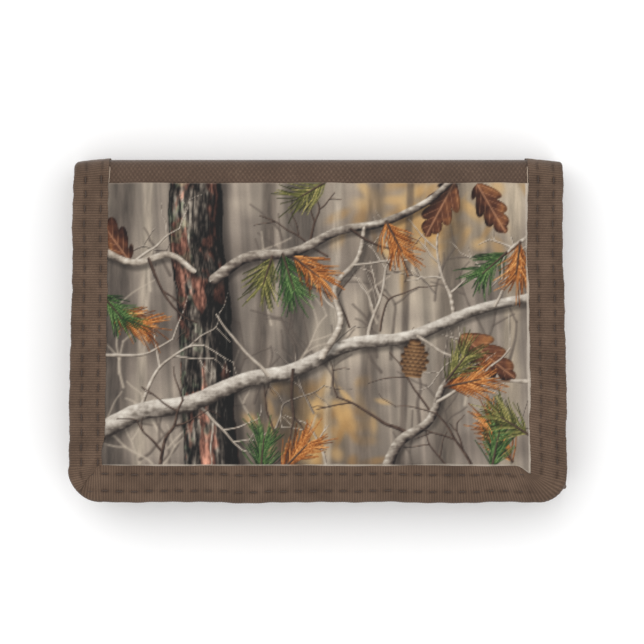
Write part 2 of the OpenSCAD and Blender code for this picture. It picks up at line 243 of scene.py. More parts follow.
def folded_tape(name, edge_top, in_top, edge_bottom, material, fine, rows=(), beat=None, seed=0):
    """Binding tape folded over an edge, from its edge and inner border on top and its edge underneath.

    fine makes real ribs and stitch dimples. rows holds the stitch rows' distances from the edge, and beat
    counts the stitches along the tape, with a whole number at the middle of each. The colours hold what the
    material needs: red for painted shade in the stitch dimples, green for tenths of the distance in, blue
    where it draws stitches.
    """
    n = len(edge_top)
    n_face, n_arc, n_side = (26, 5, 3) if fine else (8, 4, 3)
    along = lengths((edge_top + in_top) / 2)
    skin = np.zeros((n, 2 * (2 * n_face + 2 * n_arc + n_side), 3))
    cloth = np.zeros_like(skin)
    painted_shade_and_rows = np.zeros_like(skin)
    for i in range(n):
        width = max(np.linalg.norm(edge_top[i] - in_top[i]), 0.6)
        depth = max(np.linalg.norm(edge_top[i] - edge_bottom[i]), 1.0)
        out = (edge_top[i] - in_top[i]) / max(np.linalg.norm(edge_top[i] - in_top[i]), 1e-6)
        down = (edge_bottom[i] - edge_top[i]) / depth
        a, b, na, nb = u_profile(width, depth, n_face, n_arc, n_side)
        lift = np.zeros_like(a)
        if fine:
            lift += 0.03 * np.cos(2 * np.pi * along[i] / RIB)
            off = abs(beat[i] - round(beat[i])) * STITCH_PITCH
            pull = math.exp(-((off / 1.15) ** 4))
            valley = sum(np.exp(-(((a - row) / 0.6) ** 2)) for row in rows) * (np.abs(nb) > 0.9)
            lift -= (0.07 + 0.20 * pull) * valley
            lift += 0.10 * (1 - pull) * np.exp(-(((a - rows[0]) / 1.3) ** 2)) * (nb < -0.9)
            # Painted shade: red darkens a narrow band along each stitch row on the tape's top face, most at
            # each stitch's dimple.
            narrow = sum(np.exp(-(((a - row) / 0.36) ** 2)) for row in rows) * (nb < -0.9)
            painted_shade_and_rows[i, : len(a), 0] = (0.2 + 0.8 * pull) * narrow
        painted_shade_and_rows[i, : len(a), 1] = a / 10
        painted_shade_and_rows[i, : len(a), 2] = (nb > 0.9) if fine else (np.abs(nb) > 0.9)
        for k, inset in enumerate((-lift, np.full_like(a, TAPE * 0.9))):
            p = edge_top[i] + np.outer(-(a + na * inset), out) + np.outer(b - nb * inset, down)
            cols = slice(0, len(a)) if k == 0 else slice(len(a), None)
            skin[i, cols] = p if k == 0 else p[::-1]
            cloth[i, cols, 0] = lengths(np.stack([a, b], 1))[:: 1 if k == 0 else -1]
            cloth[i, cols, 1] = along[i]
    cloth[..., 2] = seed
    m = skin.shape[1]
    caps = []
    for row in (0, n - 1):
        half = m // 2
        quads = [(row * m + j, row * m + j + 1, row * m + m - 2 - j, row * m + m - 1 - j)
                 for j in range(half - 1)]
        caps += [q[::-1] for q in quads] if row == 0 else quads
    faces = np.concatenate([grid_faces(n, m, wrap=True, flip=True), np.array(caps)[:, ::-1]])
    skin, cloth, painted_shade_and_rows = (v.reshape(-1, 3) for v in (skin, cloth, painted_shade_and_rows))
    piece = mesh_piece(name, skin, faces, material, cloth, color=painted_shade_and_rows)
    return piece


def edge_x(side, y, seed, half_w=HALF_W):
    """The wavy side edge of a flap at height y."""
    return side * (half_w + wobble(y, seed, 0.20) + wobble(y, seed + 60, 0.07, longest=5.0))


def lift_at(x, y, seed=5):
    """Gentle unevenness of a sewn face."""
    return wobble(x * 0.9 + 0.3 * y, seed, 0.10) + wobble(y, seed + 1, 0.07)


def side_lines(side, outer, inner, seed, half_w, width=TAPE_W, full=True, skew=0.0):
    """The three lines of a straight side tape whose faces follow two paths in (y, z).

    skew lifts the inner border towards the lower end, so that the ribs slant.
    """
    y = outer[:, 0]
    x_edge = edge_x(side, np.minimum(y, TOP_Y), seed, half_w) if full else np.full(len(y), side * half_w)
    x_in = x_edge - side * (width + wobble(lengths(outer), seed + 7, 0.12))
    lines = []
    for x, path, slant in ((x_edge, outer, 0), (x_in, outer, skew), (x_edge, inner, 0)):
        rise = slant * smoothstep(8, FRONT_EDGE_Y + TAPE_W, path[:, 0])
        lines.append(np.column_stack([x, path[:, 0] + rise, path[:, 1]]))
    return lines


def corner_lines(side, radius, z_top, z_bottom, angles, border, seed):
    """The three lines of the tape round a lower corner of the front flap. border gives the inner points."""
    centre = np.array([side * (HALF_W - radius), FRONT_EDGE_Y + radius])
    wave = wobble(angles * radius, seed, 0.15)
    edge = centre + (radius + wave)[:, None] * np.column_stack([side * np.cos(angles), -np.sin(angles)])
    return [np.column_stack([flat, np.broadcast_to(z, len(flat))])
            for flat, z in ((edge, z_top), (border, z_top), (edge, z_bottom))]


def join_lines(*groups):
    """Joins groups of lines end to end."""
    return [np.concatenate(parts) for parts in zip(*groups)]


MID_TOP_SPINE_Z = (BACK_Z + FRONT_Z) / 2
MID_BOTTOM_SPINE_Z = (BACK_Z + INNER_Z) / 2
LINING_IN_Z = low("front_lining", Z) - TAPE
POCKET_TOP_Y = high("front_card_pocket", Y)


def top_fold(outward, inward, end_y, counts):
    """Outer and inner face paths of a strip from half way up the top spine over the crease to end_y."""
    outer = fold_path((TOP_Y + outward, MID_TOP_SPINE_Z), (TOP_Y + outward, FRONT_Z + outward),
                      (end_y, FRONT_Z + outward), CREASE_R + outward, counts)
    inner = fold_path((TOP_Y - inward, MID_TOP_SPINE_Z), (TOP_Y - inward, FRONT_Z - inward),
                      (end_y, FRONT_Z - inward), max(CREASE_R - inward, 0.5), counts)
    return [bulged(p, TOP_Y, 1, BACK_Z, FRONT_Z) for p in (outer, inner)]


def raise_on_flap(outer, x):
    """Lifts a tape's outer path onto the front flap's stack once it is past the crease."""
    on_flap = smoothstep(TOP_Y - 2.0, TOP_Y - 6.0, outer[:, 0])
    outer[:, 1] += (FRONT_TOP_Z - FRONT_Z - SPINE_OUT + lift_at(x, outer[:, 0])) * on_flap


def lower_over_pocket(inner):
    """Takes a tape's inner path down over the front flap's card pocket."""
    step = smoothstep(POCKET_TOP_Y + 1.5, POCKET_TOP_Y - 1.5, inner[:, 0])
    inner[:, 1] -= (LINING_IN_Z - FRONT_IN_Z) * step


def front_tape_left(material):
    """Closed side of the front flap: over the top crease, down the side and into the mitre at the corner."""
    start_y = FRONT_EDGE_Y + TAPE_W
    counts = (34, 26, 410)
    outer, inner = top_fold(SPINE_OUT, SPINE_IN, start_y, counts)
    raise_on_flap(outer, -HALF_W)
    lower_over_pocket(inner)
    straight = side_lines(-1, outer, inner, 11, HALF_W)
    straight[1][:, 0] -= 0.8 * smoothstep(-22, -31, straight[1][:, 1])
    turn = np.linspace(0.0, 1.0, 40)[1:]
    angles = turn * math.radians(45)
    reach = CORNER_R - 1.3
    end = np.array([-(HALF_W - CORNER_R) - reach * math.cos(angles[-1]),
                    FRONT_EDGE_Y + CORNER_R - reach * math.sin(angles[-1])])
    inner_corner = straight[1][-1, :2]
    border = inner_corner + (end - inner_corner) * turn[:, None]
    border[:, 0] -= 0.75 * np.sin(np.pi * turn)
    z_top = outer[-1, 1] + 0.32 * turn
    corner = corner_lines(-1, CORNER_R, z_top, FRONT_IN_Z, angles, border, 12)
    lines = join_lines(straight, corner)
    beat = (lines[0][:, 1] - FIRST_STITCH_Y) / STITCH_PITCH
    return folded_tape("front_binding_left", *lines, material, True, rows=(3.0, 7.0), beat=beat, seed=1)


def front_tape_bottom(material):
    """Free end of the front flap, from under the mitre on the left to round the right corner."""
    inner_y = FRONT_EDGE_Y + TAPE_W
    left = np.linspace(0.0, 1.0, 30)
    left_angles = math.radians(26) + left * math.radians(64)
    left_end = np.array([-(HALF_W - CORNER_R) - 5.7, FRONT_EDGE_Y + CORNER_R - 2.8])
    left_corner = np.array([-(HALF_W - TAPE_W) - 1.5, inner_y])
    border = left_end + (left_corner - left_end) * left[:, None]
    first = corner_lines(-1, CORNER_R, FRONT_TOP_Z - 0.03, FRONT_IN_Z, left_angles, border, 12)
    x = np.linspace(-(HALF_W - CORNER_R), HALF_W - RIGHT_CORNER_R - 1.5, 680)
    edge = np.column_stack([x, FRONT_EDGE_Y - 0.1 + wobble(x, 31, 0.22)])
    fan = HALF_W - TAPE_W - 0.9
    inside_x = np.interp(x, (left_corner[0], fan - 18, fan, x[-1]),
                         (left_corner[0], fan - 18, fan - 3.6, fan - 1.8))
    inside = np.column_stack([inside_x, inner_y + wobble(x, 33, 0.12) + dip(inside_x)])
    z = FRONT_TOP_Z + lift_at(x, FRONT_EDGE_Y)
    under = np.full(len(x), FRONT_IN_Z)
    middle = [np.column_stack([flat, level]) for flat, level in
              ((edge, z), (inside, z), (edge, under))]
    right = np.linspace(0.0, 1.0, 60)[1:]
    right_angles = math.radians(90) + math.radians(14 - 90) * right
    last_x = inside[-1, 0] + (HALF_W - TAPE_W - inside[-1, 0]) * right
    last = np.column_stack([last_x, inner_y + dip(last_x)])
    third = corner_lines(1, RIGHT_CORNER_R, FRONT_TOP_Z, FRONT_IN_Z, right_angles, last, 34)
    lines = join_lines(first, middle, third)
    between = 0.5
    beat = np.concatenate([np.full(len(left), between), (x - FIRST_STITCH_X) / STITCH_PITCH,
                           np.full(len(right), between)])
    return folded_tape("front_binding_bottom", *lines, material, True, rows=(2.7, 6.8), beat=beat, seed=2)


def dip(x):
    """How far the print shows below its straight lower edge, at its right corner."""
    return -1.9 * np.exp(-(((x - (HALF_W - TAPE_W)) / 2.0) ** 2))


def front_tape_right(material):
    """Banknote side of the front flap: only the outer nylon and the print are bound."""
    counts = (34, 26, 410)
    outer, inner = top_fold(SPINE_OUT, SHELL_IN, FRONT_EDGE_Y + RIGHT_CORNER_R, counts)
    raise_on_flap(outer, HALF_W)
    straight = side_lines(1, outer, inner, 14, HALF_W, skew=2.0)
    turn = np.linspace(0.0, 1.0, 14)[1:]
    border = straight[1][-1, :2] + np.outer(turn, (0.0, -2.1))
    corner = corner_lines(1, RIGHT_CORNER_R, outer[-1, 1] + 0.05 * turn, inner[-1, 1],
                          turn * math.radians(22), border, 34)
    lines = join_lines(straight, corner)
    beat = (lines[0][:, 1] - FIRST_STITCH_Y) / STITCH_PITCH
    return folded_tape("front_binding_right", *lines, material, True, rows=(2.4, 6.3), beat=beat, seed=3)


def plain_side_tape(name, side, outer, inner, material, half_w, seed, width=TAPE_W):
    """A side tape away from the front face, with its ribs and stitches left to the material."""
    lines = side_lines(side, outer, inner, seed, half_w, width, full=False)
    return folded_tape(name, *lines, material, False, seed=seed)


MOUTH_OUT = -(LINING_IN - CLOTH / 2 - TAPE)
BACK_RISE = high("back_mouth_tape", Z) - BACK_Z - SPINE_IN
COIN_RISE = high("coin_pocket_front", Z) + TAPE - BACK_Z - SPINE_IN
CARD_RISE = high("card_pocket", Z) + TAPE - BACK_Z - SPINE_IN
CARD_TOP_Y = high("card_pocket", Y)
BACK_LINING_TOP = high("back_lining", Z)
WINDOW_TOP_Y = high("id_window_frame", Y)
SEAM_RUN = 4.0
COUNTS = (24, 18, 80)


def back_rise(y):
    """How much higher than a bare lining the back panel's stack of pockets stands at y."""
    rise = COIN_RISE + (CARD_RISE - COIN_RISE) * smoothstep(CARD_TOP_Y + 1, CARD_TOP_Y - 1, y)
    rise = rise + (BACK_RISE - CARD_RISE) * smoothstep(WINDOW_TOP_Y + 1, WINDOW_TOP_Y - 1, y)
    return rise * seam_taper(y)


def seam_taper(y):
    """Falls from 1 to 0 where the seams at the creases press the pockets flat."""
    top = smoothstep(TOP_Y - SPINE_IN - 0.4, TOP_Y - SPINE_IN - SEAM_RUN, y)
    return top * smoothstep(BOTTOM_Y + SPINE_IN + 0.4, BOTTOM_Y + SPINE_IN + SEAM_RUN, y)


def crease_pair(crease_y, crease_z, out, z_sign, mid_z, end_y, outward, inward, counts=COUNTS):
    """Outer and inner face paths from half way up a spine round one crease to end_y on a panel.

    out is the spine's outward direction along y and z_sign the panel's outward direction along z.
    """
    paths = []
    for offset in (outward, -inward):
        a = (crease_y + out * offset, mid_z)
        corner = (crease_y + out * offset, crease_z + z_sign * offset)
        b = (end_y, crease_z + z_sign * offset)
        paths.append(fold_path(a, corner, b, max(CREASE_R + offset, 0.5), counts))
    spine_top = FRONT_Z if out > 0 else INNER_Z
    return [bulged(p, crease_y, out, BACK_Z, spine_top) for p in paths]


def back_paths(out, outward, inward, raised):
    """Paths over one of the back panel's two creases. raised lifts the inner face over the pockets."""
    crease_y = TOP_Y if out > 0 else BOTTOM_Y
    mid_z = MID_TOP_SPINE_Z if out > 0 else MID_BOTTOM_SPINE_Z
    outer, inner = crease_pair(crease_y, BACK_Z, out, -1, mid_z, 0.0, outward, inward)
    if raised:
        inner[:, 1] += back_rise(inner[:, 0])
    return outer, inner


def inner_paths(outward, inward, end_y, pocketed):
    """Paths over the inner flap's crease. pocketed lowers the inner face round the slip pocket."""
    outer, inner = crease_pair(BOTTOM_Y, INNER_Z, -1, 1, MID_BOTTOM_SPINE_Z, end_y, outward, inward)
    if pocketed:
        y0 = BOTTOM_Y + SPINE_IN
        pocket_y = high("slip_pocket", Y)
        drop = SLIP_DROP * smoothstep(y0, y0 + SEAM_RUN, inner[:, 0])
        inner[:, 1] -= drop * smoothstep(pocket_y + 1.5, pocket_y - 1.5, inner[:, 0])
    return outer, inner


SLIP_DROP = low("inner_lining", Z) - low("slip_pocket", Z)


def blend_over(piece):
    """Bakes a strip's transform into its mesh."""
    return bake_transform(piece)


def over_front_crease(piece):
    return blend_over(piece)


def over_back_crease(piece):
    return blend_over(piece)


def over_inner_crease(piece):
    return blend_over(piece)


# ---------------------------------------------------------------- sheets of cloth


def sheet_along(name, path, half_w, thickness, material, cols=61, round_end=0.0, ripple=0.05, seed=0):
    """A sheet that follows a path in (y, z). round_end rounds the corners at the path's last point."""
    along = lengths(path)
    left = along[-1] - along
    chord = np.sqrt(np.maximum(round_end**2 - (round_end - left) ** 2, 0))
    inset = np.where(left < round_end, round_end - chord, 0)
    tangent = np.gradient(path, axis=0)
    tangent /= np.linalg.norm(tangent, axis=1)[:, None]
    normal = np.column_stack([-tangent[:, 1], tangent[:, 0]])
    x = np.linspace(-1, 1, cols)
    grid = np.zeros((len(path), cols, 3))
    grid[..., 0] = x * (half_w - inset)[:, None]
    wave = wobble(grid[..., 0] + 0.4 * along[:, None], seed, ripple)
    wave *= np.sin(np.pi * along / along[-1])[:, None]
    faces = []
    for side in (0.5, -0.5):
        face = grid.copy()
        face[..., 1] = path[:, :1] + normal[:, :1] * (side * thickness + wave)
        face[..., 2] = path[:, 1:] + normal[:, 1:] * (side * thickness + wave)
        faces.append(face)
    cloth = np.stack([grid[..., 0], np.broadcast_to(along[:, None], grid.shape[:2]),
                      np.full(grid.shape[:2], float(seed))], -1)
    verts, quads = slab(faces[0], faces[1])
    cloth = np.concatenate([cloth.reshape(-1, 3)] * 2)
    piece = mesh_piece(name, verts, quads, material, cloth)
    return piece


def flat_sheet(name, x, y, z, thickness, material, hole=None, seed=0, ripple=0.05):
    """A sheet over the grid of x and y. z gives its top's height: a number or a function of x and y."""
    gx, gy = np.meshgrid(x, y)
    top = np.stack([gx, gy, z(gx, gy) if callable(z) else np.full(gx.shape, float(z))], -1)
    top[..., 2] += wobble(gx + 0.3 * gy, seed, ripple)
    bottom = top - np.array([0, 0, thickness])
    verts, quads = slab(top, bottom, hole)
    cloth = np.concatenate([np.stack([gx, gy, np.full(gx.shape, float(seed))], -1).reshape(-1, 3)] * 2)
    piece = mesh_piece(name, verts, quads, material, cloth)
    return piece


# ---------------------------------------------------------------- materials


def linear(value):
    """Linear light from display values of 0 to 255."""
    value = np.asarray(value) / 255
    return np.where(value <= 0.04045, value / 12.92, ((value + 0.055) / 1.055) ** 2.4)


def rgb(red, green, blue):
    """A linear colour from the usual 0 to 255 values."""
    return (*linear((red, green, blue)).tolist(), 1.0)


class Nodes:
    """A material with short ways to add nodes and link them."""

    def __init__(self, name):
        self.material = bpy.data.materials.new(name)
        self.material.use_nodes = True
        self.tree = self.material.node_tree
        self.shader = self.tree.nodes["Principled BSDF"]

    def link(self, value, socket):
        if hasattr(value, "is_output"):
            self.tree.links.new(value, socket)
        else:
            socket.default_value = value

    def math(self, operation, a, b=0.0, clamp=False):
        node = self.tree.nodes.new("ShaderNodeMath")
        node.operation = operation
        node.use_clamp = clamp
        self.link(a, node.inputs[0])
        self.link(b, node.inputs[1])
        return node.outputs[0]

    def scaled(self, value, gain, offset):
        """value * gain + offset."""
        result = self.math("MULTIPLY_ADD", value, gain)
        result.node.inputs[2].default_value = offset
        return result

    def vary(self, shade, noise, amount, clamp=False):
        """A shade moved up and down by a noise from 0 to 1."""
        shift = self.math("MULTIPLY", self.math("SUBTRACT", noise, 0.5), amount)
        return self.math("ADD", shade, shift, clamp)

    def wave(self, kind, value, length):
        """The SINE or COSINE of a distance in mm, for a wave of this length."""
        return self.math(kind, self.math("MULTIPLY", value, 2 * math.pi / length))

    def attribute(self, name):
        node = self.tree.nodes.new("ShaderNodeAttribute")
        node.attribute_name = name
        return node

    def cloth(self):
        """(across, along) on the flat cloth in mm, and the whole vector."""
        node = self.attribute("cloth")
        split = self.tree.nodes.new("ShaderNodeSeparateXYZ")
        self.tree.links.new(node.outputs["Vector"], split.inputs[0])
        return split.outputs[0], split.outputs[1], node.outputs["Vector"]

    def noise(self, vector, scale, detail=3.0, stretch=None):
        if stretch is not None:
            mapping = self.tree.nodes.new("ShaderNodeMapping")
            mapping.inputs["Scale"].default_value = stretch
            self.tree.links.new(vector, mapping.inputs["Vector"])
            vector = mapping.outputs[0]
        node = self.tree.nodes.new("ShaderNodeTexNoise")
        node.inputs["Scale"].default_value = scale
        node.inputs["Detail"].default_value = detail
        self.tree.links.new(vector, node.inputs["Vector"])
        return node.outputs[0]

    def ramp(self, value, stops):
        node = self.tree.nodes.new("ShaderNodeValToRGB")
        self.tree.links.new(value, node.inputs[0])
        for element, (place, color) in zip(node.color_ramp.elements, stops[:1] + stops[-1:]):
            element.position = place
            element.color = color
        for place, color in stops[1:-1]:
            node.color_ramp.elements.new(place).color = color
        return node.outputs[0]

    def mix(self, factor, a, b, kind="MIX"):
        node = self.tree.nodes.new("ShaderNodeMix")
        node.data_type = "RGBA"
        node.blend_type = kind
        self.link(factor, node.inputs["Factor"])
        self.link(a, node.inputs["A"])
        self.link(b, node.inputs["B"])
        return node.outputs["Result"]

    def bump(self, height, strength, distance_mm):
        node = self.tree.nodes.new("ShaderNodeBump")
        node.inputs["Strength"].default_value = strength
        node.inputs["Distance"].default_value = distance_mm * MM
        self.tree.links.new(height, node.inputs["Height"])
        self.tree.links.new(node.outputs[0], self.shader.inputs["Normal"])

    def finish(self, color, roughness=0.8, sheen=0.0, metallic=0.0, specular=0.5, alpha=1.0):
        self.link(color, self.shader.inputs["Base Color"])
        self.link(roughness, self.shader.inputs["Roughness"])
        self.shader.inputs["Sheen Weight"].default_value = sheen
        self.shader.inputs["Sheen Roughness"].default_value = 0.5
        self.shader.inputs["Metallic"].default_value = metallic
        self.shader.inputs["Specular IOR Level"].default_value = specular
        self.shader.inputs["Alpha"].default_value = alpha
        return self.material


def tape_material():
    """Brown grosgrain: ribs across the tape, fine yarns in each rib, painted shade in the stitch dimples and
    some wear.
    """
    n = Nodes("binding_tape")
    across, along, vector = n.cloth()
    rib = n.scaled(n.wave("COSINE", along, RIB), 0.5, 0.5)
    yarn = n.math("ABSOLUTE", n.wave("SINE", across, 0.42))
    patches = n.noise(vector, 0.16, 4.0)
    fibres = n.noise(vector, 4.5, 4.0, (1.6, 1.0, 1.0))
    shade = n.vary(n.vary(n.scaled(rib, 0.26, 0.36), patches, 0.62), fibres, 0.62)
    channels = n.tree.nodes.new("ShaderNodeSeparateColor")
    n.tree.links.new(n.attribute("print").outputs["Color"], channels.inputs[0])
    painted_dimple_shade, inward, drawn = channels.outputs
    # Painted shade: the red of the colour attribute darkens the tape in the stitch dimples.
    shade = n.math("SUBTRACT", shade, n.math("MULTIPLY", painted_dimple_shade, 0.26))
    inward = n.math("MULTIPLY", inward, 10.0)
    off_row = n.math("ABSOLUTE", n.math("SUBTRACT", n.math("ABSOLUTE", n.math("SUBTRACT", inward, 4.9)), 2.0))
    row = n.math("SUBTRACT", 1.0, n.math("DIVIDE", off_row, 0.34), clamp=True)
    beat = n.scaled(n.wave("COSINE", along, STITCH_PITCH), 3.0, 0.6)
    dash = n.math("MULTIPLY", row, n.math("MINIMUM", n.math("MAXIMUM", beat, 0.12), 1.0))
    dash = n.math("MULTIPLY", dash, drawn)
    shade = n.math("SUBTRACT", shade, n.math("MULTIPLY", dash, 0.34), clamp=True)
    color = n.ramp(shade, [(0.0, rgb(42, 31, 24)), (0.5, rgb(86, 68, 55)), (1.0, rgb(124, 102, 85))])
    height = n.math("ADD", rib, n.math("MULTIPLY", yarn, 0.18))
    n.bump(height, 0.55, 0.06)
    return n.finish(color, 0.86, sheen=0.12, specular=0.25)


def nylon_material(name, dark, mid, pale, pitch, roughness, sheen=0.1, bump_mm=0.05):
    """Woven nylon: staggered rows of short raised yarns."""
    n = Nodes(name)
    across, along, vector = n.cloth()
    warp = n.wave("COSINE", across, 2 * pitch)
    weft = n.wave("COSINE", along, 2.5 * pitch)
    over = n.scaled(n.math("MULTIPLY", warp, weft), 0.5, 0.5)
    patches = n.noise(vector, 0.12, 4.0)
    fibres = n.noise(vector, 3.5, 2.0)
    shade = n.vary(n.scaled(over, 0.24, 0.33), patches, 0.35)
    shade = n.vary(shade, fibres, 0.45, clamp=True)
    color = n.ramp(shade, [(0.0, dark), (0.5, mid), (1.0, pale)])
    n.bump(over, 0.6, bump_mm)
    return n.finish(color, roughness, sheen=sheen, specular=0.3)


def print_material():
    """The printed cloth: its picture is the mesh's colours, over a fine plain weave."""
    n = Nodes("printed_cloth")
    across, along, vector = n.cloth()
    weave = n.math("MULTIPLY", n.wave("SINE", across, 0.55), n.wave("SINE", along, 0.55))
    grain = n.noise(vector, 2.4, 4.0)
    factor = n.vary(n.scaled(weave, 0.035, 1.0), grain, 0.26)
    gray = n.tree.nodes.new("ShaderNodeCombineColor")
    for socket in gray.inputs[:3]:
        n.link(factor, socket)
    color = n.mix(1.0, n.attribute("print").outputs["Color"], gray.outputs[0], "MULTIPLY")
    n.bump(weave, 0.35, 0.03)
    return n.finish(color, 0.74, sheen=0.05, specular=0.3)


def thread_material():
    n = Nodes("thread")
    across, along = n.cloth()[:2]
    twist = n.wave("SINE", n.math("ADD", along, n.math("MULTIPLY", across, 1.4)), 0.4)
    color = n.ramp(n.scaled(twist, 0.3, 0.5), [(0.0, rgb(46, 33, 26)), (1.0, rgb(80, 62, 50))])
    n.bump(twist, 0.5, 0.05)
    return n.finish(color, 0.7, sheen=0.1)


def pile_material(name, dark, pale, scale):
    """Hook or loop tape: short stiff ends that catch the light."""
    n = Nodes(name)
    vector = n.cloth()[2]
    fuzz = n.noise(vector, scale, 5.0)
    color = n.ramp(fuzz, [(0.3, dark), (0.7, pale)])
    n.bump(fuzz, 0.8, 0.2)
    return n.finish(color, 0.78, sheen=0.3)


def zip_tape_material():
    """Zip tape: a herringbone of fine yarns."""
    n = Nodes("zip_tape")
    across, along = n.cloth()[:2]
    lines = n.wave("SINE", n.math("ADD", across, n.math("PINGPONG", along, 1.2)), 0.45)
    color = n.ramp(n.scaled(lines, 0.3, 0.5), [(0.0, rgb(38, 30, 25)), (1.0, rgb(84, 70, 60))])
    n.bump(lines, 0.5, 0.04)
    return n.finish(color, 0.8, sheen=0.1)


def plain_material(name, color, roughness, metallic=0.0, scale=0.9, spread=0.12, alpha=1.0, on_object=False):
    """Moulded plastic, metal or vinyl, with faint handling marks."""
    n = Nodes(name)
    if on_object:
        node = n.tree.nodes.new("ShaderNodeTexCoord")
        vector, scale = node.outputs["Object"], scale / MM
    else:
        vector = n.cloth()[2]
    marks = n.noise(vector, scale, 2.0)
    level = n.scaled(marks, spread * 2, roughness - spread)
    tint = n.ramp(marks, [(0.35, tuple(c * 0.86 for c in color[:3]) + (1.0,)), (0.65, color)])
    n.bump(marks, 0.15, 0.02)
    return n.finish(tint, level, metallic=metallic, alpha=alpha)


def make_materials():
    brown = (rgb(42, 31, 24), rgb(83, 65, 53), rgb(128, 107, 90))
    dark_brown = (rgb(26, 19, 15), rgb(55, 43, 35), rgb(88, 72, 60))
    return {
        "tape": tape_material(),
        "outer": nylon_material("outer_nylon", *brown, pitch=0.55, roughness=0.82, bump_mm=0.08),
        "lining": nylon_material("lining_nylon", *dark_brown, pitch=0.45, roughness=0.6, sheen=0.12),
        "print": print_material(),
        "thread": thread_material(),
        "hook": pile_material("hook_tape", rgb(24, 18, 15), rgb(74, 60, 50), 1.6),
        "loop": pile_material("loop_tape", rgb(40, 30, 25), rgb(98, 80, 68), 0.9),
        "zip_tape": zip_tape_material(),
        "teeth": plain_material("zip_teeth", rgb(46, 38, 33), 0.42),
        "metal": plain_material("zip_metal", rgb(198, 194, 186), 0.3, metallic=1.0, on_object=True),
        "vinyl": plain_material("clear_vinyl", rgb(206, 210, 210), 0.14, scale=0.12, spread=0.04, alpha=0.16),
        "raw_edge": plain_material("raw_edge", rgb(176, 158, 140), 0.85),
    }


# ---------------------------------------------------------------- the print

PRINT_COLUMNS = 380
PRINT_ROWS = 250
PRINT_CELL = 0.28
PRINT_MIDDLE = np.array((120.0, 108.0, 95.0))
PRINT_CONTRAST = 1.42
PRINT_LIGHT = (-0.5, 0.86)
PALE_EDGE = (186, 174, 160)


def value_noise(x, y, seed):
    """Smooth noise from 0 to 1 with one cell a unit."""
    table = np.random.default_rng(seed).random((64, 64))
    i, j = np.floor(x).astype(int), np.floor(y).astype(int)
    u, v = x - i, y - j
    u, v = u * u * (3 - 2 * u), v * v * (3 - 2 * v)
    a, b = table[i % 64, j % 64], table[(i + 1) % 64, j % 64]
    c, d = table[i % 64, (j + 1) % 64], table[(i + 1) % 64, (j + 1) % 64]
    return (a * (1 - u) + b * u) * (1 - v) + (c * (1 - u) + d * u) * v


def clouds(x, y, size_x, size_y, seed, layers=4):
    """Several sizes of noise together, from 0 to 1, with blobs of about size_x by size_y."""
    total, weight = 0.0, 0.0
    for k in range(layers):
        share = 1 / 1.7**k
        u, v = x * 2**k / size_x + 7.3 * k, y * 2**k / size_y + 3.1 * k
        total = total + share * value_noise(u, v, seed + k)
        weight += share
    return total / weight


def blend_in(image, cover, color):
    """Lays a colour over the picture where cover is above 0."""
    image += cover[..., None] * (np.asarray(color, float) - image)


def tone_ramp(value, stops):
    """Colour for each value, from a short list of (place, colour)."""
    places = [s[0] for s in stops]
    return np.stack([np.interp(value, places, [s[1][c] for s in stops]) for c in range(3)], -1)


def smooth_line(points, per_span=8):
    """A Catmull-Rom curve through given points."""
    p = np.asarray(points, float)
    p = np.vstack([2 * p[0] - p[1], p, 2 * p[-1] - p[-2]])
    t = np.linspace(0, 1, per_span, endpoint=False)[:, None]
    spans = []
    for a, b, c, d in zip(p[:-3], p[1:-2], p[2:-1], p[3:]):
        bend = (2 * a - 5 * b + 4 * c - d) * t**2 + (3 * b - a - 3 * c + d) * t**3
        spans.append(0.5 * (2 * b + (c - a) * t + bend))
    return np.vstack(spans + [p[-2:-1]])


def window_of(x, y, line, reach):
    """The part of the picture's grid that a line can touch."""
    rows = np.where((y[:, 0] > line[:, 1].min() - reach) & (y[:, 0] < line[:, 1].max() + reach))[0]
    cols = np.where((x[0] > line[:, 0].min() - reach) & (x[0] < line[:, 0].max() + reach))[0]
    if len(rows) == 0 or len(cols) == 0:
        return None
    return slice(rows[0], rows[-1] + 1), slice(cols[0], cols[-1] + 1)


def nearest_on(x, y, line):
    """Distance to a line of points, side of it (+ is left) and place along it from 0 to 1."""
    best = np.full(x.shape, 1e9)
    side = np.zeros(x.shape)
    place = np.zeros(x.shape)
    total = lengths(line)
    for k in range(len(line) - 1):
        a, b = line[k], line[k + 1]
        d = b - a
        span = max(float(d @ d), 1e-9)
        t = np.clip(((x - a[0]) * d[0] + (y - a[1]) * d[1]) / span, 0, 1)
        dx, dy = x - a[0] - t * d[0], y - a[1] - t * d[1]
        dist = np.hypot(dx, dy)
        near = dist < best
        best = np.where(near, dist, best)
        side = np.where(near, np.sign(d[0] * dy - d[1] * dx), side)
        place = np.where(near, (total[k] + t * math.sqrt(span)) / total[-1], place)
    return best, side, place


PALE_BARK = [(0.0, (66, 57, 50)), (0.3, (112, 101, 90)), (0.62, (164, 153, 140)), (1.0, (198, 189, 176))]
GREY_BARK = [(0.0, (46, 38, 34)), (0.35, (98, 86, 76)), (0.7, (150, 138, 124)), (1.0, (192, 182, 168))]
DARK_TWIG = [(0.0, (40, 32, 28)), (0.5, (82, 66, 56)), (1.0, (128, 108, 92))]
PALE_TWIG = [(0.0, (78, 67, 58)), (0.5, (156, 143, 128)), (1.0, (204, 194, 180))]


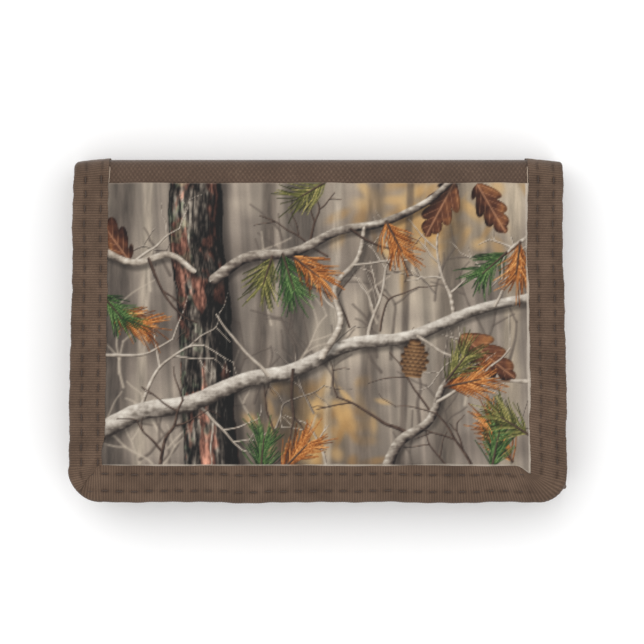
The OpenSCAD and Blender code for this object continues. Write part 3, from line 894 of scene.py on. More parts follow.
def paint_branch(image, x, y, points, start_w, end_w, tones, seed, shadow=True, blur=PRINT_CELL):
    """A round tapering branch, lit from above and marked with bark. blur is how soft its edges are, in mm."""
    line = smooth_line(points) if len(points) > 2 else np.asarray(points, float)
    reach = max(start_w, end_w) + 1.2 + blur
    part = window_of(x, y, line, reach)
    if part is None:
        return
    px, py = x[part], y[part]
    if shadow and start_w > 1.2:
        dist, _, place = nearest_on(px - 0.5, py + 0.8, line)
        half = (start_w + (end_w - start_w) * place) / 2
        blend_in(image[part], 0.4 * (1 - smoothstep(half * 0.6, half + 0.9, dist)), (46, 40, 35))
    dist, side, place = nearest_on(px, py, line)
    half = (start_w + (end_w - start_w) * place) / 2
    half = half * (1 + 0.16 * (clouds(px, py, 2.2, 2.2, seed, 2) - 0.5))
    cover = np.clip((half - dist) / blur + 0.5, 0, 1)
    across = np.clip(side * dist / np.maximum(half, 0.05), -1, 1)
    heading = line[-1] - line[0]
    heading = heading / max(np.linalg.norm(heading), 1e-6)
    lit = heading[0] * PRINT_LIGHT[1] - heading[1] * PRINT_LIGHT[0]
    round_light = 0.56 + 0.40 * across * np.sign(lit) * max(abs(lit), 0.45) - 0.22 * across**2
    marks = clouds(px, py, 2.6, 0.7, seed + 5, 3) - 0.5
    speckle = clouds(px, py, 0.9, 0.9, seed + 9, 2) - 0.5
    value = round_light + (0.55 * marks + 0.35 * speckle if start_w > 0.9 else 0.3 * speckle)
    blend_in(image[part], cover, tone_ramp(value, tones))


def paint_needles(image, x, y, base, heading, length, needles, tones, seed, spread=40, needle=7.0):
    """A sprig: fine curved needles that fan off a short stem, the lower ones in shade."""
    rng = np.random.default_rng(seed)
    turn = math.radians(heading)
    stem = np.array([math.cos(turn), math.sin(turn)])
    droop = rng.uniform(-0.9, 0.9)
    for k in range(needles):
        root = np.array(base) + stem * length * rng.random()
        off = math.radians(spread * rng.uniform(0.15, 1.2)) * (1 if k % 2 else -1)
        reach = needle * rng.uniform(0.55, 1.15)
        tip = root + reach * np.array([math.cos(turn + off), math.sin(turn + off)])
        across = np.array([-(tip - root)[1], (tip - root)[0]]) / reach
        line = np.array([root, (root + tip) / 2 + across * (0.5 * droop + rng.uniform(-0.35, 0.35)), tip])
        part = window_of(x, y, line, 0.8)
        if part is None:
            continue
        dist, side, place = nearest_on(x[part], y[part], line)
        half = 0.17 * (1 - 0.5 * place)
        cover = np.clip((half - dist) / PRINT_CELL + 0.5, 0, 1)
        shade = 0.9 * (k / needles) * rng.uniform(0.6, 1.0) + 0.14 * side
        blend_in(image[part], cover, tone_ramp(shade, tones))
    paint_branch(image, x, y, [base, np.array(base) + stem * length], 0.6, 0.3, DARK_TWIG, seed, shadow=False)


def grow_twig(image, x, y, root, heading, length, width, tones, rng, depth=0, blur=PRINT_CELL):
    """A crooked bare twig that forks, kinking where each side shoot leaves it."""
    steps = max(3, int(length / 3.2))
    line = [np.array(root, float)]
    shoots = []
    for k in range(steps):
        heading += rng.normal(0, 11)
        turn = math.radians(heading)
        step = length / steps * rng.uniform(0.8, 1.2)
        line.append(line[-1] + step * np.array([math.cos(turn), math.sin(turn)]))
        if depth < 2 and k > 0 and rng.random() < 0.62:
            lean = rng.uniform(28, 58) * rng.choice((-1, 1))
            reach = length * rng.uniform(0.3, 0.6)
            shoots.append((line[-1], heading + lean, reach, width * (1 - 0.5 * k / steps)))
            heading -= 0.25 * lean
    for shoot, lean, reach, wide in shoots:
        grow_twig(image, x, y, shoot, lean, reach, wide * 0.7, tones, rng, depth + 1, blur)
    seed = int(rng.integers(1, 900))
    paint_branch(image, x, y, line, width, width * 0.4, tones, seed, shadow=False, blur=blur)


RUST = [(0.0, (84, 50, 28)), (0.5, (150, 98, 56)), (1.0, (206, 158, 104))]
GREEN = [(0.0, (36, 46, 30)), (0.5, (72, 90, 54)), (1.0, (132, 146, 98))]
OLIVE = [(0.0, (52, 50, 30)), (0.5, (104, 100, 62)), (1.0, (170, 156, 104))]
FAR_DARK = [(0.0, (84, 74, 66)), (1.0, (118, 105, 93))]
FAR_PALE = [(0.0, (150, 137, 122)), (1.0, (180, 166, 148))]
OAK = [(0.0, (46, 32, 28)), (0.45, (104, 72, 54)), (0.75, (160, 116, 76)), (1.0, (214, 172, 116))]
FURROWED = [(0.12, (26, 22, 20)), (0.3, (58, 51, 45)), (0.52, (98, 88, 78)), (0.8, (150, 139, 125))]
CONE_SCALE = [(0, (58, 42, 30)), (0.5, (138, 108, 78)), (1, (206, 178, 138))]


def paint_background(x, y):
    """Soft, far-off woods: mist, blurred trunks, bare undergrowth and dry leaves that catch the sun."""
    rng = np.random.default_rng(88)
    mist = clouds(x, y, 26, 18, 101)
    image = tone_ramp(mist, [(0.25, (104, 93, 83)), (0.5, (129, 117, 105)), (0.8, (154, 141, 125))])
    streaks = clouds(x + 0.06 * y, y, 2.2, 50, 121, 3)
    image *= (0.80 + 0.40 * streaks)[..., None]
    glow = np.exp(-(((x - 27) / 15) ** 2 + ((y - 27) / 12) ** 2))
    glow += 0.9 * np.exp(-(((x + 2) / 13) ** 2 + ((y + 24) / 9) ** 2))
    for k in range(150):
        centre = (27, 27) if k % 2 else (-2, -24)
        u0, v0 = rng.normal(centre[0], 9), rng.normal(centre[1], 6)
        turn, long, wide = rng.uniform(0, np.pi), rng.uniform(1.5, 4.2), rng.uniform(0.7, 1.9)
        du, dv = x - u0, y - v0
        a = du * math.cos(turn) + dv * math.sin(turn)
        b = dv * math.cos(turn) - du * math.sin(turn)
        soft = np.exp(-(np.hypot(a / long, b / wide) ** 3))
        dry = tone_ramp(rng.random(), [(0, (128, 96, 60)), (1, (200, 166, 116))])
        blend_in(image, 0.55 * soft, dry)
    blend_in(image, 0.25 * np.clip(glow, 0, 1), (176, 146, 104))
    for centre, width, color, strength in (
        (-49, 3.6, (92, 82, 73), 0.8), (-42.5, 1.4, (168, 154, 136), 0.55), (-13, 1.7, (98, 87, 77), 0.7),
        (-5.5, 4.2, (84, 75, 67), 0.72), (3.5, 1.1, (170, 157, 140), 0.5), (12.5, 2.0, (104, 92, 81), 0.6),
        (21, 0.9, (90, 79, 70), 0.6), (31.5, 3.0, (96, 85, 74), 0.62), (47, 2.2, (160, 145, 124), 0.5),
    ):
        lean = 0.035 * y * (1 if centre % 2 else -1)
        sway = 1.6 * (clouds(y, y * 0, 24, 1, int(200 + centre), 2) - 0.5)
        cover = strength * np.exp(-np.abs((x - centre - lean - sway) / width) ** 4)
        bark = 0.72 + 0.5 * clouds(x, y, 0.9, 6, int(240 + centre), 3)
        blend_in(image, cover, np.array(color) * bark[..., None])
    for k in range(46):
        tones = FAR_DARK if k % 3 else FAR_PALE
        root = (rng.uniform(-54, 54), rng.uniform(-36, 14))
        heading, length, width = rng.uniform(55, 125), rng.uniform(9, 20), rng.uniform(0.35, 0.8)
        grow_twig(image, x, y, root, heading, length, width, tones, rng, 1, 0.7)
    return image


def paint_trunk(image, x, y, centre, half_w, lean, seed, pinkish):
    """A near trunk of furrowed bark in long broken plates, darker towards its sides."""
    middle = centre + lean * y + 2.2 * (clouds(y, y * 0, 26, 1, seed, 2) - 0.5)
    rough = 0.9 * (clouds(y, x * 0, 3.2, 1, seed + 1, 3) - 0.5)
    across = (x - middle) / (half_w + rough)
    cover = smoothstep(1.03, 0.97, np.abs(across))
    bow = np.arcsin(np.clip(across, -1, 1)) * half_w
    ridges = clouds(bow, y + 3 * across, 1.5, 9.0, seed + 10, 4)
    flakes = clouds(bow, y, 0.9, 1.6, seed + 20, 3)
    value = 0.62 * np.abs(2 * ridges - 1) * 1.7 + 0.38 * flakes
    bark = tone_ramp(value, FURROWED)
    wood = smoothstep(0.55, 0.66, clouds(bow, y, 5, 10, seed + 30)) * pinkish
    bark += (wood * 0.75)[..., None] * (np.array((150, 106, 88)) * (0.5 + value[..., None]) - bark)
    lichen = smoothstep(0.56, 0.68, clouds(bow, y, 4, 4, seed + 40)) * smoothstep(0.2, -0.7, across)
    bark += (lichen * 0.5)[..., None] * (np.array((122, 128, 104)) * (0.5 + value[..., None]) - bark)
    shade = (1.06 - 0.62 * np.abs(across + 0.18) ** 2.4).clip(0.35, 1.1)
    blend_in(image, 0.5 * smoothstep(half_w + 1.8, half_w - 0.5, np.abs(x - middle - 0.9)), (52, 45, 40))
    blend_in(image, cover, bark * shade[..., None])


def paint_leaf(image, x, y, base, heading, length, width, tones, seed):
    """A dry lobed leaf with a pale midrib and side veins."""
    turn = math.radians(heading)
    dx, dy = x - base[0], y - base[1]
    u = (dx * math.cos(turn) + dy * math.sin(turn)) / length
    v = (-dx * math.sin(turn) + dy * math.cos(turn)) / width
    lobes = 0.50 + 0.50 * np.abs(np.sin((u - 0.55 * np.abs(v)) * math.pi * 3.4 + 0.5 * np.sign(v))) ** 0.6
    outline = np.sin(np.pi * np.clip(u, 0, 1) ** 0.8) ** 0.6 * 0.5 * lobes
    cover = np.where((u > 0) & (u < 1), np.clip((outline - np.abs(v)) * width / 0.35 + 0.5, 0, 1), 0)
    blotches = clouds(x, y, 5, 4, seed) - 0.5
    flecks = clouds(x, y, 1, 1, seed + 4, 2) - 0.5
    value = 0.42 + 0.6 * blotches + 0.5 * v + 0.2 * flecks
    color = tone_ramp(value, tones)
    vein = np.exp(-((v * width / 0.22) ** 2))
    slant = (u - 0.75 * np.abs(v)) * 6.5
    vein = np.maximum(vein, 0.6 * np.exp(-(((slant - np.round(slant)) * length / 6.5 / 0.2) ** 2)))
    color = color + (vein * 0.45)[..., None] * (np.array((206, 164, 130)) - color)
    shade = np.clip((outline - np.abs(v)) * width / 1.0, 0, 1)
    blend_in(image, cover, color * (0.75 + 0.25 * shade)[..., None])


def paint_cone(image, x, y, base, heading, length, width):
    """A small open cone of overlapping scales."""
    turn = math.radians(heading)
    along = np.array([math.cos(turn), math.sin(turn)])
    across = np.array([-along[1], along[0]])
    for ring in range(9, -1, -1):
        t = ring / 9
        half = 0.5 * width * math.sin(math.pi * (0.14 + 0.8 * (1 - t))) ** 0.7
        for k in range(5):
            s = (k - 2) / 2 + (0.25 if ring % 2 else 0)
            centre = np.array(base) + along * length * t + across * half * s * 0.9
            dx, dy = x - centre[0], y - centre[1]
            u, v = dx * along[0] + dy * along[1], dx * across[0] + dy * across[1]
            dist = np.hypot(u / 0.75, v / 0.85)
            cover = np.clip((1 - dist) * 2.4, 0, 1)
            blend_in(image, cover, tone_ramp(0.35 + 0.5 * u - 0.12 * abs(s), CONE_SCALE))


BRANCHES = (
    # route in mm from the middle of the panel, width at its start and at its end, bark
    (((-54, -25), (-43, -19.5), (-31, -17.5), (-18, -12.0), (-6, -9.5), (8, -3.2), (22, -1.4), (38, 5.0),
      (54, 8.5)), 4.6, 2.2, PALE_BARK),
    (((-25, 12.5), (-17, 17.8), (-6, 19.0), (5, 24.2), (15, 26.0), (26, 31.0), (33, 37)),
     2.7, 1.4, GREY_BARK),
    (((1, -6.2), (5.5, 2.0), (4.2, 10.5), (9.6, 17.5), (11.2, 24.8)), 1.7, 0.9, PALE_TWIG),
    (((16, -35), (19.5, -27), (27, -21.5), (30.5, -13.0), (37.5, -8.2)), 2.9, 1.1, GREY_BARK),
    (((-54, 20), (-45, 16.5), (-36, 18.4), (-30, 14.5)), 1.9, 1.3, PALE_TWIG),
)

SPRIGS = (
    # base, heading in degrees, stem length, needles, colours
    ((-8.5, 18.6), -72, 9, 90, GREEN), ((-6.0, 18.0), -38, 8, 80, RUST), ((-11, 18.0), -108, 7, 60, OLIVE),
    ((47.0, -31.5), 122, 11, 110, RUST), ((42.0, -33), 78, 9, 80, GREEN), ((51, -25), 148, 8, 70, OLIVE),
    ((-50.5, 4), -18, 9, 80, RUST), ((-53, 9), -48, 8, 70, GREEN),
    ((30.5, -13.5), 12, 9, 80, RUST), ((31, -12), 52, 8, 60, OLIVE),
    ((-14.0, -35), 84, 9, 80, GREEN), ((-9, -34), 46, 9, 90, RUST),
    ((16.5, 26.4), -62, 8, 70, RUST), ((2, 36), -150, 7, 50, OLIVE),
    ((46, 19), -140, 8, 70, GREEN), ((49.5, 21.5), -98, 8, 70, RUST),
)

SHOOTS = (
    # root, heading in degrees, length, width, bark
    ((-43, -19.5), 62, 22, 0.95, PALE_TWIG), ((-12, -10.8), 118, 20, 0.9, PALE_TWIG),
    ((12, -2.8), 66, 20, 0.9, PALE_TWIG), ((24, -1.2), -42, 16, 0.8, PALE_TWIG),
    ((33, 2.8), 96, 21, 1.0, PALE_TWIG), ((43, 6.2), 58, 17, 0.8, PALE_TWIG),
    ((-2, 20.6), 74, 14, 0.7, DARK_TWIG), ((8, 24.6), -38, 15, 0.7, DARK_TWIG),
    ((-45, 16.5), 48, 15, 0.7, PALE_TWIG), ((-41, 17.4), -62, 18, 0.8, DARK_TWIG),
    ((22, -24.8), 152, 20, 0.9, DARK_TWIG), ((29, -17), 24, 22, 0.9, PALE_TWIG),
    ((-30, -17.2), -52, 17, 0.9, PALE_TWIG), ((-6, -9.4), -76, 18, 0.8, DARK_TWIG),
    ((5, 5), 148, 14, 0.6, PALE_TWIG), ((9, 16), 28, 15, 0.6, PALE_TWIG),
    ((54, -12), 172, 20, 1.0, PALE_TWIG), ((54, 24), 196, 19, 1.0, PALE_TWIG),
    ((-54, -6), 14, 19, 0.9, PALE_TWIG), ((-39, -36), 74, 20, 1.0, DARK_TWIG),
    ((3, -36), 108, 16, 0.8, PALE_TWIG), ((38, -36), 104, 18, 0.8, DARK_TWIG),
)


def paint_print(x, y):
    """A made-up woodland scene of branches, needles and bark, painted back to front, as linear colours."""
    image = paint_background(x, y)
    rng = np.random.default_rng(301)
    for k in range(16):
        root = (rng.uniform(-52, 52), rng.uniform(-36, 24))
        heading, length = rng.uniform(25, 155), rng.uniform(10, 18)
        grow_twig(image, x, y, root, heading, length, 0.5, DARK_TWIG if k % 2 else GREY_BARK, rng, 1)
    paint_trunk(image, x, y, -27.5, 6.4, -0.05, 141, 1.0)
    for k, (root, heading, length, width, tones) in enumerate(SHOOTS[::2]):
        grow_twig(image, x, y, root, heading, length, width, tones, np.random.default_rng(340 + k))
    paint_leaf(image, x, y, (34.5, -1.0), -38, 17, 9, OAK, 501)
    paint_leaf(image, x, y, (-46, 17), 128, 15, 8, OAK, 511)
    paint_leaf(image, x, y, (33.0, 36.0), -118, 15, 8.5, OAK, 521)
    paint_leaf(image, x, y, (38.5, 35.5), -58, 14, 8, OAK, 531)
    for place, (points, start_w, end_w, tones) in enumerate(BRANCHES):
        paint_branch(image, x, y, points, start_w, end_w, tones, 430 + 10 * place)
    paint_cone(image, x, y, (23.5, -2.6), -96, 8.0, 5.6)
    for k, (root, heading, length, width, tones) in enumerate(SHOOTS[1::2]):
        grow_twig(image, x, y, root, heading, length, width, tones, np.random.default_rng(380 + k))
    for place, (base, heading, length, needles, tones) in enumerate(SPRIGS):
        paint_needles(image, x, y, base, heading, length, needles, tones, 600 + place)
    image = 0.97 * PRINT_MIDDLE + PRINT_CONTRAST * (0.96 * image - PRINT_MIDDLE)
    paint_margin(image, x, y)
    return linear(np.clip(image, 3, 255))


def paint_margin(image, x, y):
    """The unprinted pale edge of the cloth, a hair wider than the tape covers on two sides."""
    right = HALF_W - TAPE_W - 0.62 + wobble(y, 701, 0.12)
    lower = FRONT_EDGE_Y + TAPE_W + 0.34 + wobble(x, 702, 0.12) + dip(x)
    blend_in(image, 0.9 * smoothstep(right - 0.1, right + 0.25, x), PALE_EDGE)
    blend_in(image, 0.9 * smoothstep(lower + 0.1, lower - 0.25, y), PALE_EDGE)
    blend_in(image, 0.5 * smoothstep(PRINT_TOP_Y - 0.35, PRINT_TOP_Y - 0.1, y), (150, 134, 120))


# ---------------------------------------------------------------- the front flap


def make_front_flap(m):
    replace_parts(over_front_crease(front_tape_left(m["tape"])), "front_tape_left", "top_spine_tape_left")
    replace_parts(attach(front_tape_bottom(m["tape"]), "front_flap"), "front_tape_bottom")
    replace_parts(over_front_crease(front_tape_right(m["tape"])), "front_tape_right", "top_spine_tape_right")

    outer, inner = top_fold(MOUTH_OUT, SPINE_IN, FRONT_EDGE_Y + 5.2, (30, 20, 100))
    lower_over_pocket(inner)
    mouth = plain_side_tape("front_binding_mouth", 1, outer, inner, m["tape"], HALF_W - 0.3, 21)
    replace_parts(over_front_crease(mouth), "front_mouth_tape", "top_spine_mouth_tape")

    end_y = FRONT_EDGE_Y + TAPE + 0.1
    shell_path = top_fold(0.0, 0.0, end_y, (30, 24, 150))[0]
    shell = sheet_along("front_outer_nylon", shell_path, HALF_W - 1.2, 0.5, m["outer"],
                        cols=121, round_end=CORNER_R, ripple=0.06, seed=41)
    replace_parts(over_front_crease(shell), "front_shell", "fold_facing", "top_spine_shell")
    lining_path = top_fold(-LINING_IN, LINING_IN, end_y, (30, 16, 90))[0]
    lining = sheet_along("front_inner_lining", lining_path, HALF_W - 0.9, CLOTH, m["lining"],
                         round_end=CORNER_R, ripple=0.12, seed=42)
    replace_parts(over_front_crease(lining), "front_lining", "top_spine_lining")
    make_print(m)
    make_selvage(m)
    make_pocket("front_card_pocket", "front_flap", m, end_y, POCKET_TOP_Y, HALF_W - 0.9, CORNER_R)
    make_hooks(m)
    make_stitches("front_stitches", front_stitch_points(), m, "front_flap", "front_stitching")


def make_print(m):
    """The printed cloth on the front flap, with its cut edge showing beside the tape."""
    x = np.linspace(-HALF_W + TAPE_W - 1.0, HALF_W - TAPE_W + 1.0, PRINT_COLUMNS)
    y = np.linspace(FRONT_EDGE_Y + TAPE_W - 3.0, PRINT_TOP_Y, PRINT_ROWS)
    gx, gy = np.meshgrid(x, y)
    top_edge = wobble(gx, 51, 0.10) * smoothstep(PRINT_TOP_Y - 3, PRINT_TOP_Y, gy)
    top = np.stack([gx, gy + top_edge, np.full(gx.shape, PRINT_Z)], -1)
    puff = (1 - (gx / (HALF_W - TAPE_W)) ** 2).clip(0, 1) * (1 - (gy / 34) ** 2).clip(0, 1)
    top[..., 2] += 0.28 * puff + wobble(gx + 0.4 * gy, 52, 0.07) + wobble(gy - 0.3 * gx, 53, 0.05)
    verts, quads, rim = capped_grid(top, 0.26)
    cloth = np.stack([gx, gy, np.zeros_like(gx)], -1).reshape(-1, 3)
    cloth = np.concatenate([cloth, cloth[rim]])
    color = paint_print(gx, gy).reshape(-1, 3)
    color = np.concatenate([color, color[rim]])
    piece = mesh_piece("front_print", verts, quads, m["print"], cloth, color=color)
    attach(piece, "front_flap")
    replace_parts(piece, "printed_panel")


def make_selvage(m):
    """The pale raw edge of the nylon strip, showing beside the side tapes from the print up to the fold."""
    y = np.linspace(PRINT_TOP_Y - 0.4, TOP_Y - 0.9, 24)
    z = FRONT_Z + 0.30 - 1.1 * smoothstep(TOP_Y - 1.9, TOP_Y - 0.2, y)
    lines = []
    for side, seed in ((-1, 11), (1, 14)):
        x = edge_x(side, y, seed) - side * (TAPE_W + 0.16 + wobble(y, seed + 7, 0.05))
        lines.append(np.column_stack([x, y, z]))
    selvage = tubes("strip_raw_edges", np.array(lines), 0.13, m["raw_edge"], 8)
    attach(selvage, "front_flap")


def front_stitch_points():
    """(point, direction) of each stitch on the front flap's binding."""
    stitches = []
    top = FRONT_TOP_Z
    for side, rows in ((-1, (3.0, 7.0)), (1, (2.4, 6.3))):
        for row in rows:
            for k in range(20):
                y = FIRST_STITCH_Y + k * STITCH_PITCH
                if y > TOP_Y - 3.5:
                    continue
                x = side * (abs(float(edge_x(side, y, 11 if side < 0 else 14))) - row)
                stitches.append(((x, y, top - 0.20 + float(lift_at(side * HALF_W, y))), (0, 1, 0)))
    for row in (2.7, 6.8):
        for k in range(33):
            x = FIRST_STITCH_X + k * STITCH_PITCH
            if x > HALF_W - 0.8 * row - 4.0:
                continue
            y = FRONT_EDGE_Y - 0.1 + row + float(wobble(x, 31, 0.22))
            stitches.append(((x, y, top - 0.20 + float(lift_at(x, FRONT_EDGE_Y))), (1, 0, 0)))
    return stitches


def make_stitches(name, stitches, m, body, node):
    """Short rounded threads lying in the cloth."""
    length, radius = 2.1, 0.18
    rings, sides = 7, 7
    t = np.linspace(-1, 1, rings)
    turn = np.arange(sides) * 2 * np.pi / sides
    verts, faces, cloth = [], [], []
    for place, (point, direction) in enumerate(stitches):
        d = np.array(direction, float)
        across = np.cross((0, 0, 1.0), d)
        girth = radius * np.sqrt(1 - (t * 0.94) ** 2)
        axis = np.outer(t * length / 2, d) + np.array(point)
        axis[:, 2] -= 0.12 * t**4
        ring = np.cos(turn)[None, :, None] * across + np.sin(turn)[None, :, None] * np.array((0, 0, 1.0))
        verts.append((axis[:, None, :] + girth[:, None, None] * ring).reshape(-1, 3))
        start = place * rings * sides
        faces += grid_faces(rings, sides, start, wrap=True).tolist()
        faces.append([start + k for k in range(sides)])
        faces.append([start + (rings - 1) * sides + k for k in reversed(range(sides))])
        cloth.append(np.stack([np.broadcast_to(turn * radius, (rings, sides)),
                               np.broadcast_to((t * length / 2)[:, None], (rings, sides)),
                               np.full((rings, sides), float(place))], -1).reshape(-1, 3))
    piece = mesh_piece(name, np.concatenate(verts), faces, m["thread"], np.concatenate(cloth))
    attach(piece, body)
    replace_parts(piece, node)


def mouth_binding(name, body, m, half_w, y, z_high, z_low, *nodes):
    """Tape folded over the mouth of a pocket, whose edge is at y."""
    hem = 5.0
    x = np.linspace(-half_w, half_w, 160)
    edge_y = y + wobble(x, len(name), 0.12)
    lines = [np.column_stack([x, line_y, np.full(len(x), z)])
             for line_y, z in ((edge_y, z_high), (edge_y - hem, z_high), (edge_y, z_low))]
    piece = folded_tape(name, *lines, m["tape"], False, seed=len(name))
    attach(piece, body)
    if nodes:
        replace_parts(piece, *nodes)


def make_pocket(node, body, m, y0, y1, half_w, round_end):
    """A card pocket: a sheet and the tape over its mouth."""
    z = (low(node, Z) + high(node, Z)) / 2
    path = np.column_stack([np.linspace(y1, y0, 60), np.full(60, z)])
    if body == "back_panel":
        path[:, 1] = pressed(path[:, 0], z)
    piece = sheet_along(node + "_cloth", path, half_w, CLOTH, m["lining"],
                        round_end=round_end, ripple=0.12, seed=len(node))
    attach(piece, body)
    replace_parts(piece, node)
    mouth_binding(node + "_mouth", body, m, half_w - TAPE_W - 0.5, y1 + 0.35, z + 0.42, z - 0.42,
                  node + "_trim")


def make_hooks(m):
    """The hook half of the closure: a base with rows of small bent ends."""
    x0, x1 = low("hook_patch", X), high("hook_patch", X)
    y0, y1 = low("hook_patch", Y), high("hook_patch", Y)
    top = high("hook_patch", Z)
    base = flat_sheet("hook_base", np.linspace(x0, x1, 60), np.linspace(y0, y1, 18), top - 0.02, 0.35,
                      m["hook"], ripple=0.02, seed=61)
    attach(base, "front_flap")
    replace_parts(base, "hook_patch")
    rng = np.random.default_rng(62)
    arcs = []
    for y in np.arange(y0 + 1.0, y1 - 0.8, 0.85):
        for x in np.arange(x0 + 1.0, x1 - 0.8, 0.95):
            at = np.array([x + rng.uniform(-0.1, 0.1), y + rng.uniform(-0.1, 0.1), top - 0.3])
            arcs.append([at, at + (0, 0.05, -0.3), at + (0, 0.22, -0.48), at + (0, 0.4, -0.36)])
    hooks = tubes("hook_ends", np.array(arcs), 0.09, m["hook"], 4)
    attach(hooks, "front_flap")


def make_loops(m):
    """The loop half of the closure: a base with a thick pile of fine loops."""
    x0, x1 = low("loop_patch", X), high("loop_patch", X)
    y0, y1 = low("loop_patch", Y), high("loop_patch", Y)
    bottom = low("loop_patch", Z)
    base = flat_sheet("loop_base", np.linspace(x0, x1, 90), np.linspace(y0, y1, 26), bottom + 0.5, 0.46,
                      m["loop"], ripple=0.05, seed=63)
    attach(base, "inner_flap")
    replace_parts(base, "loop_patch")
    rng = np.random.default_rng(64)
    arcs = []
    for _ in range(4200):
        at = np.array([rng.uniform(x0 + 0.8, x1 - 0.8), rng.uniform(y0 + 0.8, y1 - 0.8), bottom + 0.45])
        turn = rng.uniform(0, np.pi)
        side = np.array([np.cos(turn), np.sin(turn), 0]) * rng.uniform(0.25, 0.5)
        up = np.array([0, 0, rng.uniform(0.22, 0.38)])
        arcs.append([at, at + side * 0.2 + up, at + side * 0.8 + up, at + side])
    loops = tubes("loop_pile", np.array(arcs), 0.05, m["loop"], 3)
    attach(loops, "inner_flap")


def tubes(name, lines, radius, material, sides):
    """Thin closed tubes along many short lines of points, all of one length."""
    count, rings = lines.shape[:2]
    tangent = np.gradient(lines, axis=1)
    tangent /= np.linalg.norm(tangent, axis=2)[..., None]
    a = np.cross(tangent, (0.31, 0.17, 0.05))
    a /= np.linalg.norm(a, axis=2)[..., None]
    b = np.cross(tangent, a)
    turn = np.arange(sides) * 2 * np.pi / sides
    ring = np.cos(turn)[:, None] * a[:, :, None, :] + np.sin(turn)[:, None] * b[:, :, None, :]
    verts = lines[:, :, None, :] + radius * ring
    one = grid_faces(rings, sides, wrap=True)
    starts = np.arange(count)[:, None, None] * rings * sides
    faces = (one[None] + starts).reshape(-1, 4).tolist()
    for start in starts.ravel():
        faces.append([start + k for k in reversed(range(sides))])
        faces.append([start + (rings - 1) * sides + k for k in range(sides)])
    flat = verts.reshape(-1, 3)
    return mesh_piece(name, flat, faces, material, flat.copy())


# ---------------------------------------------------------------- the back panel


def make_back_panel(m):
    """The back panel's cloth and tape, in an upper and a lower half because a piece bends at one crease."""
    for out, word in ((1, "upper"), (-1, "lower")):
        outer, inner = back_paths(out, SPINE_OUT, SPINE_IN, True)
        left = plain_side_tape("back_binding_left_" + word, -1, outer, inner, m["tape"], BACK_HALF_W, 22)
        over_back_crease(left)
        outer, inner = back_paths(out, SPINE_OUT, SHELL_IN, False)
        right = plain_side_tape("back_binding_right_" + word, 1, outer, inner, m["tape"], BACK_HALF_W, 23)
        over_back_crease(right)
        outer, inner = back_paths(out, MOUTH_OUT, SPINE_IN, True)
        mouth = plain_side_tape("back_binding_mouth_" + word, 1, outer, inner, m["tape"],
                                BACK_HALF_W - 0.3, 24)
        over_back_crease(mouth)
        shell_path = back_paths(out, 0.0, 0.0, False)[0]
        shell = sheet_along("back_outer_nylon_" + word, shell_path, BACK_HALF_W - 0.7, 0.5, m["outer"],
                            ripple=0.0, seed=43)
        over_back_crease(shell)
        lining_path = back_paths(out, -LINING_IN, LINING_IN, False)[0]
        lining = sheet_along("back_lining_" + word, lining_path, BACK_HALF_W - 0.7, CLOTH, m["lining"],
                             ripple=0.0, seed=44)
        over_back_crease(lining)
        stretch = "back" if out > 0 else "bottom_spine"
        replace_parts(left, stretch + "_tape_left")
        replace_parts(right, stretch + "_tape_right")
        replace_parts(mouth, stretch + "_mouth_tape")
        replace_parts(shell, stretch + "_shell")
        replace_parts(lining, stretch + "_lining")
    make_coin_pocket(m)
    y0 = BOTTOM_Y + SPINE_IN + 0.4
    make_pocket("card_pocket", "back_panel", m, y0, CARD_TOP_Y, BACK_HALF_W - 0.7, 0.0)
    make_window(m)


def pressed(y, z):
    """The height of a pocket layer once the seams at the creases have pressed it down."""
    return BACK_LINING_TOP + (z - BACK_LINING_TOP) * (0.25 + 0.75 * seam_taper(y))


def make_coin_pocket(m):
    z = high("coin_pocket_front", Z)
    x = np.linspace(-BACK_HALF_W + 0.8, BACK_HALF_W - 0.8, 90)
    for name in ("coin_pocket_front", "coin_pocket_header"):
        y = np.linspace(low(name, Y), high(name, Y), 60 if name.endswith("front") else 14)
        piece = flat_sheet(name + "_cloth", x, y, lambda gx, gy: pressed(gy, z), CLOTH, m["lining"],
                           seed=len(name), ripple=0.04)
        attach(piece, "back_panel")
        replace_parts(piece, name)
    for name in ("zipper_tape_lower", "zipper_tape_upper"):
        x = np.linspace(low(name, X), high(name, X), 120)
        y = np.linspace(low(name, Y), high(name, Y), 16)
        piece = flat_sheet(name + "_cloth", x, y, high(name, Z), 0.34, m["zip_tape"],
                           seed=71, ripple=0.02)
        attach(piece, "back_panel")
        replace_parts(piece, name)
    make_teeth(m)


def make_teeth(m):
    """A nylon coil on each zip tape: every tooth is a loop with its head near the middle line."""
    for name, side in (("zipper_teeth_lower", -1), ("zipper_teeth_upper", 1)):
        tip = low(name, Y) if side > 0 else high(name, Y)
        z = (low(name, Z) + high(name, Z)) / 2
        lines = []
        for x in np.arange(low(name, X) + 0.4, high(name, X), TOOTH_PITCH):
            turn = np.linspace(0, 2 * np.pi, 11)[:-1]
            reach = 1.05 * (1 + np.cos(turn))
            lines.append(np.column_stack([x + 0.28 * np.sin(turn) + 0.2 * turn / np.pi,
                                          tip + side * (0.25 + 2.1 - reach),
                                          z + 0.62 * np.sin(turn)]))
        piece = tubes(name + "_coil", np.array(lines), 0.27, m["teeth"], 7)
        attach(piece, "back_panel")
        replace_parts(piece, name)


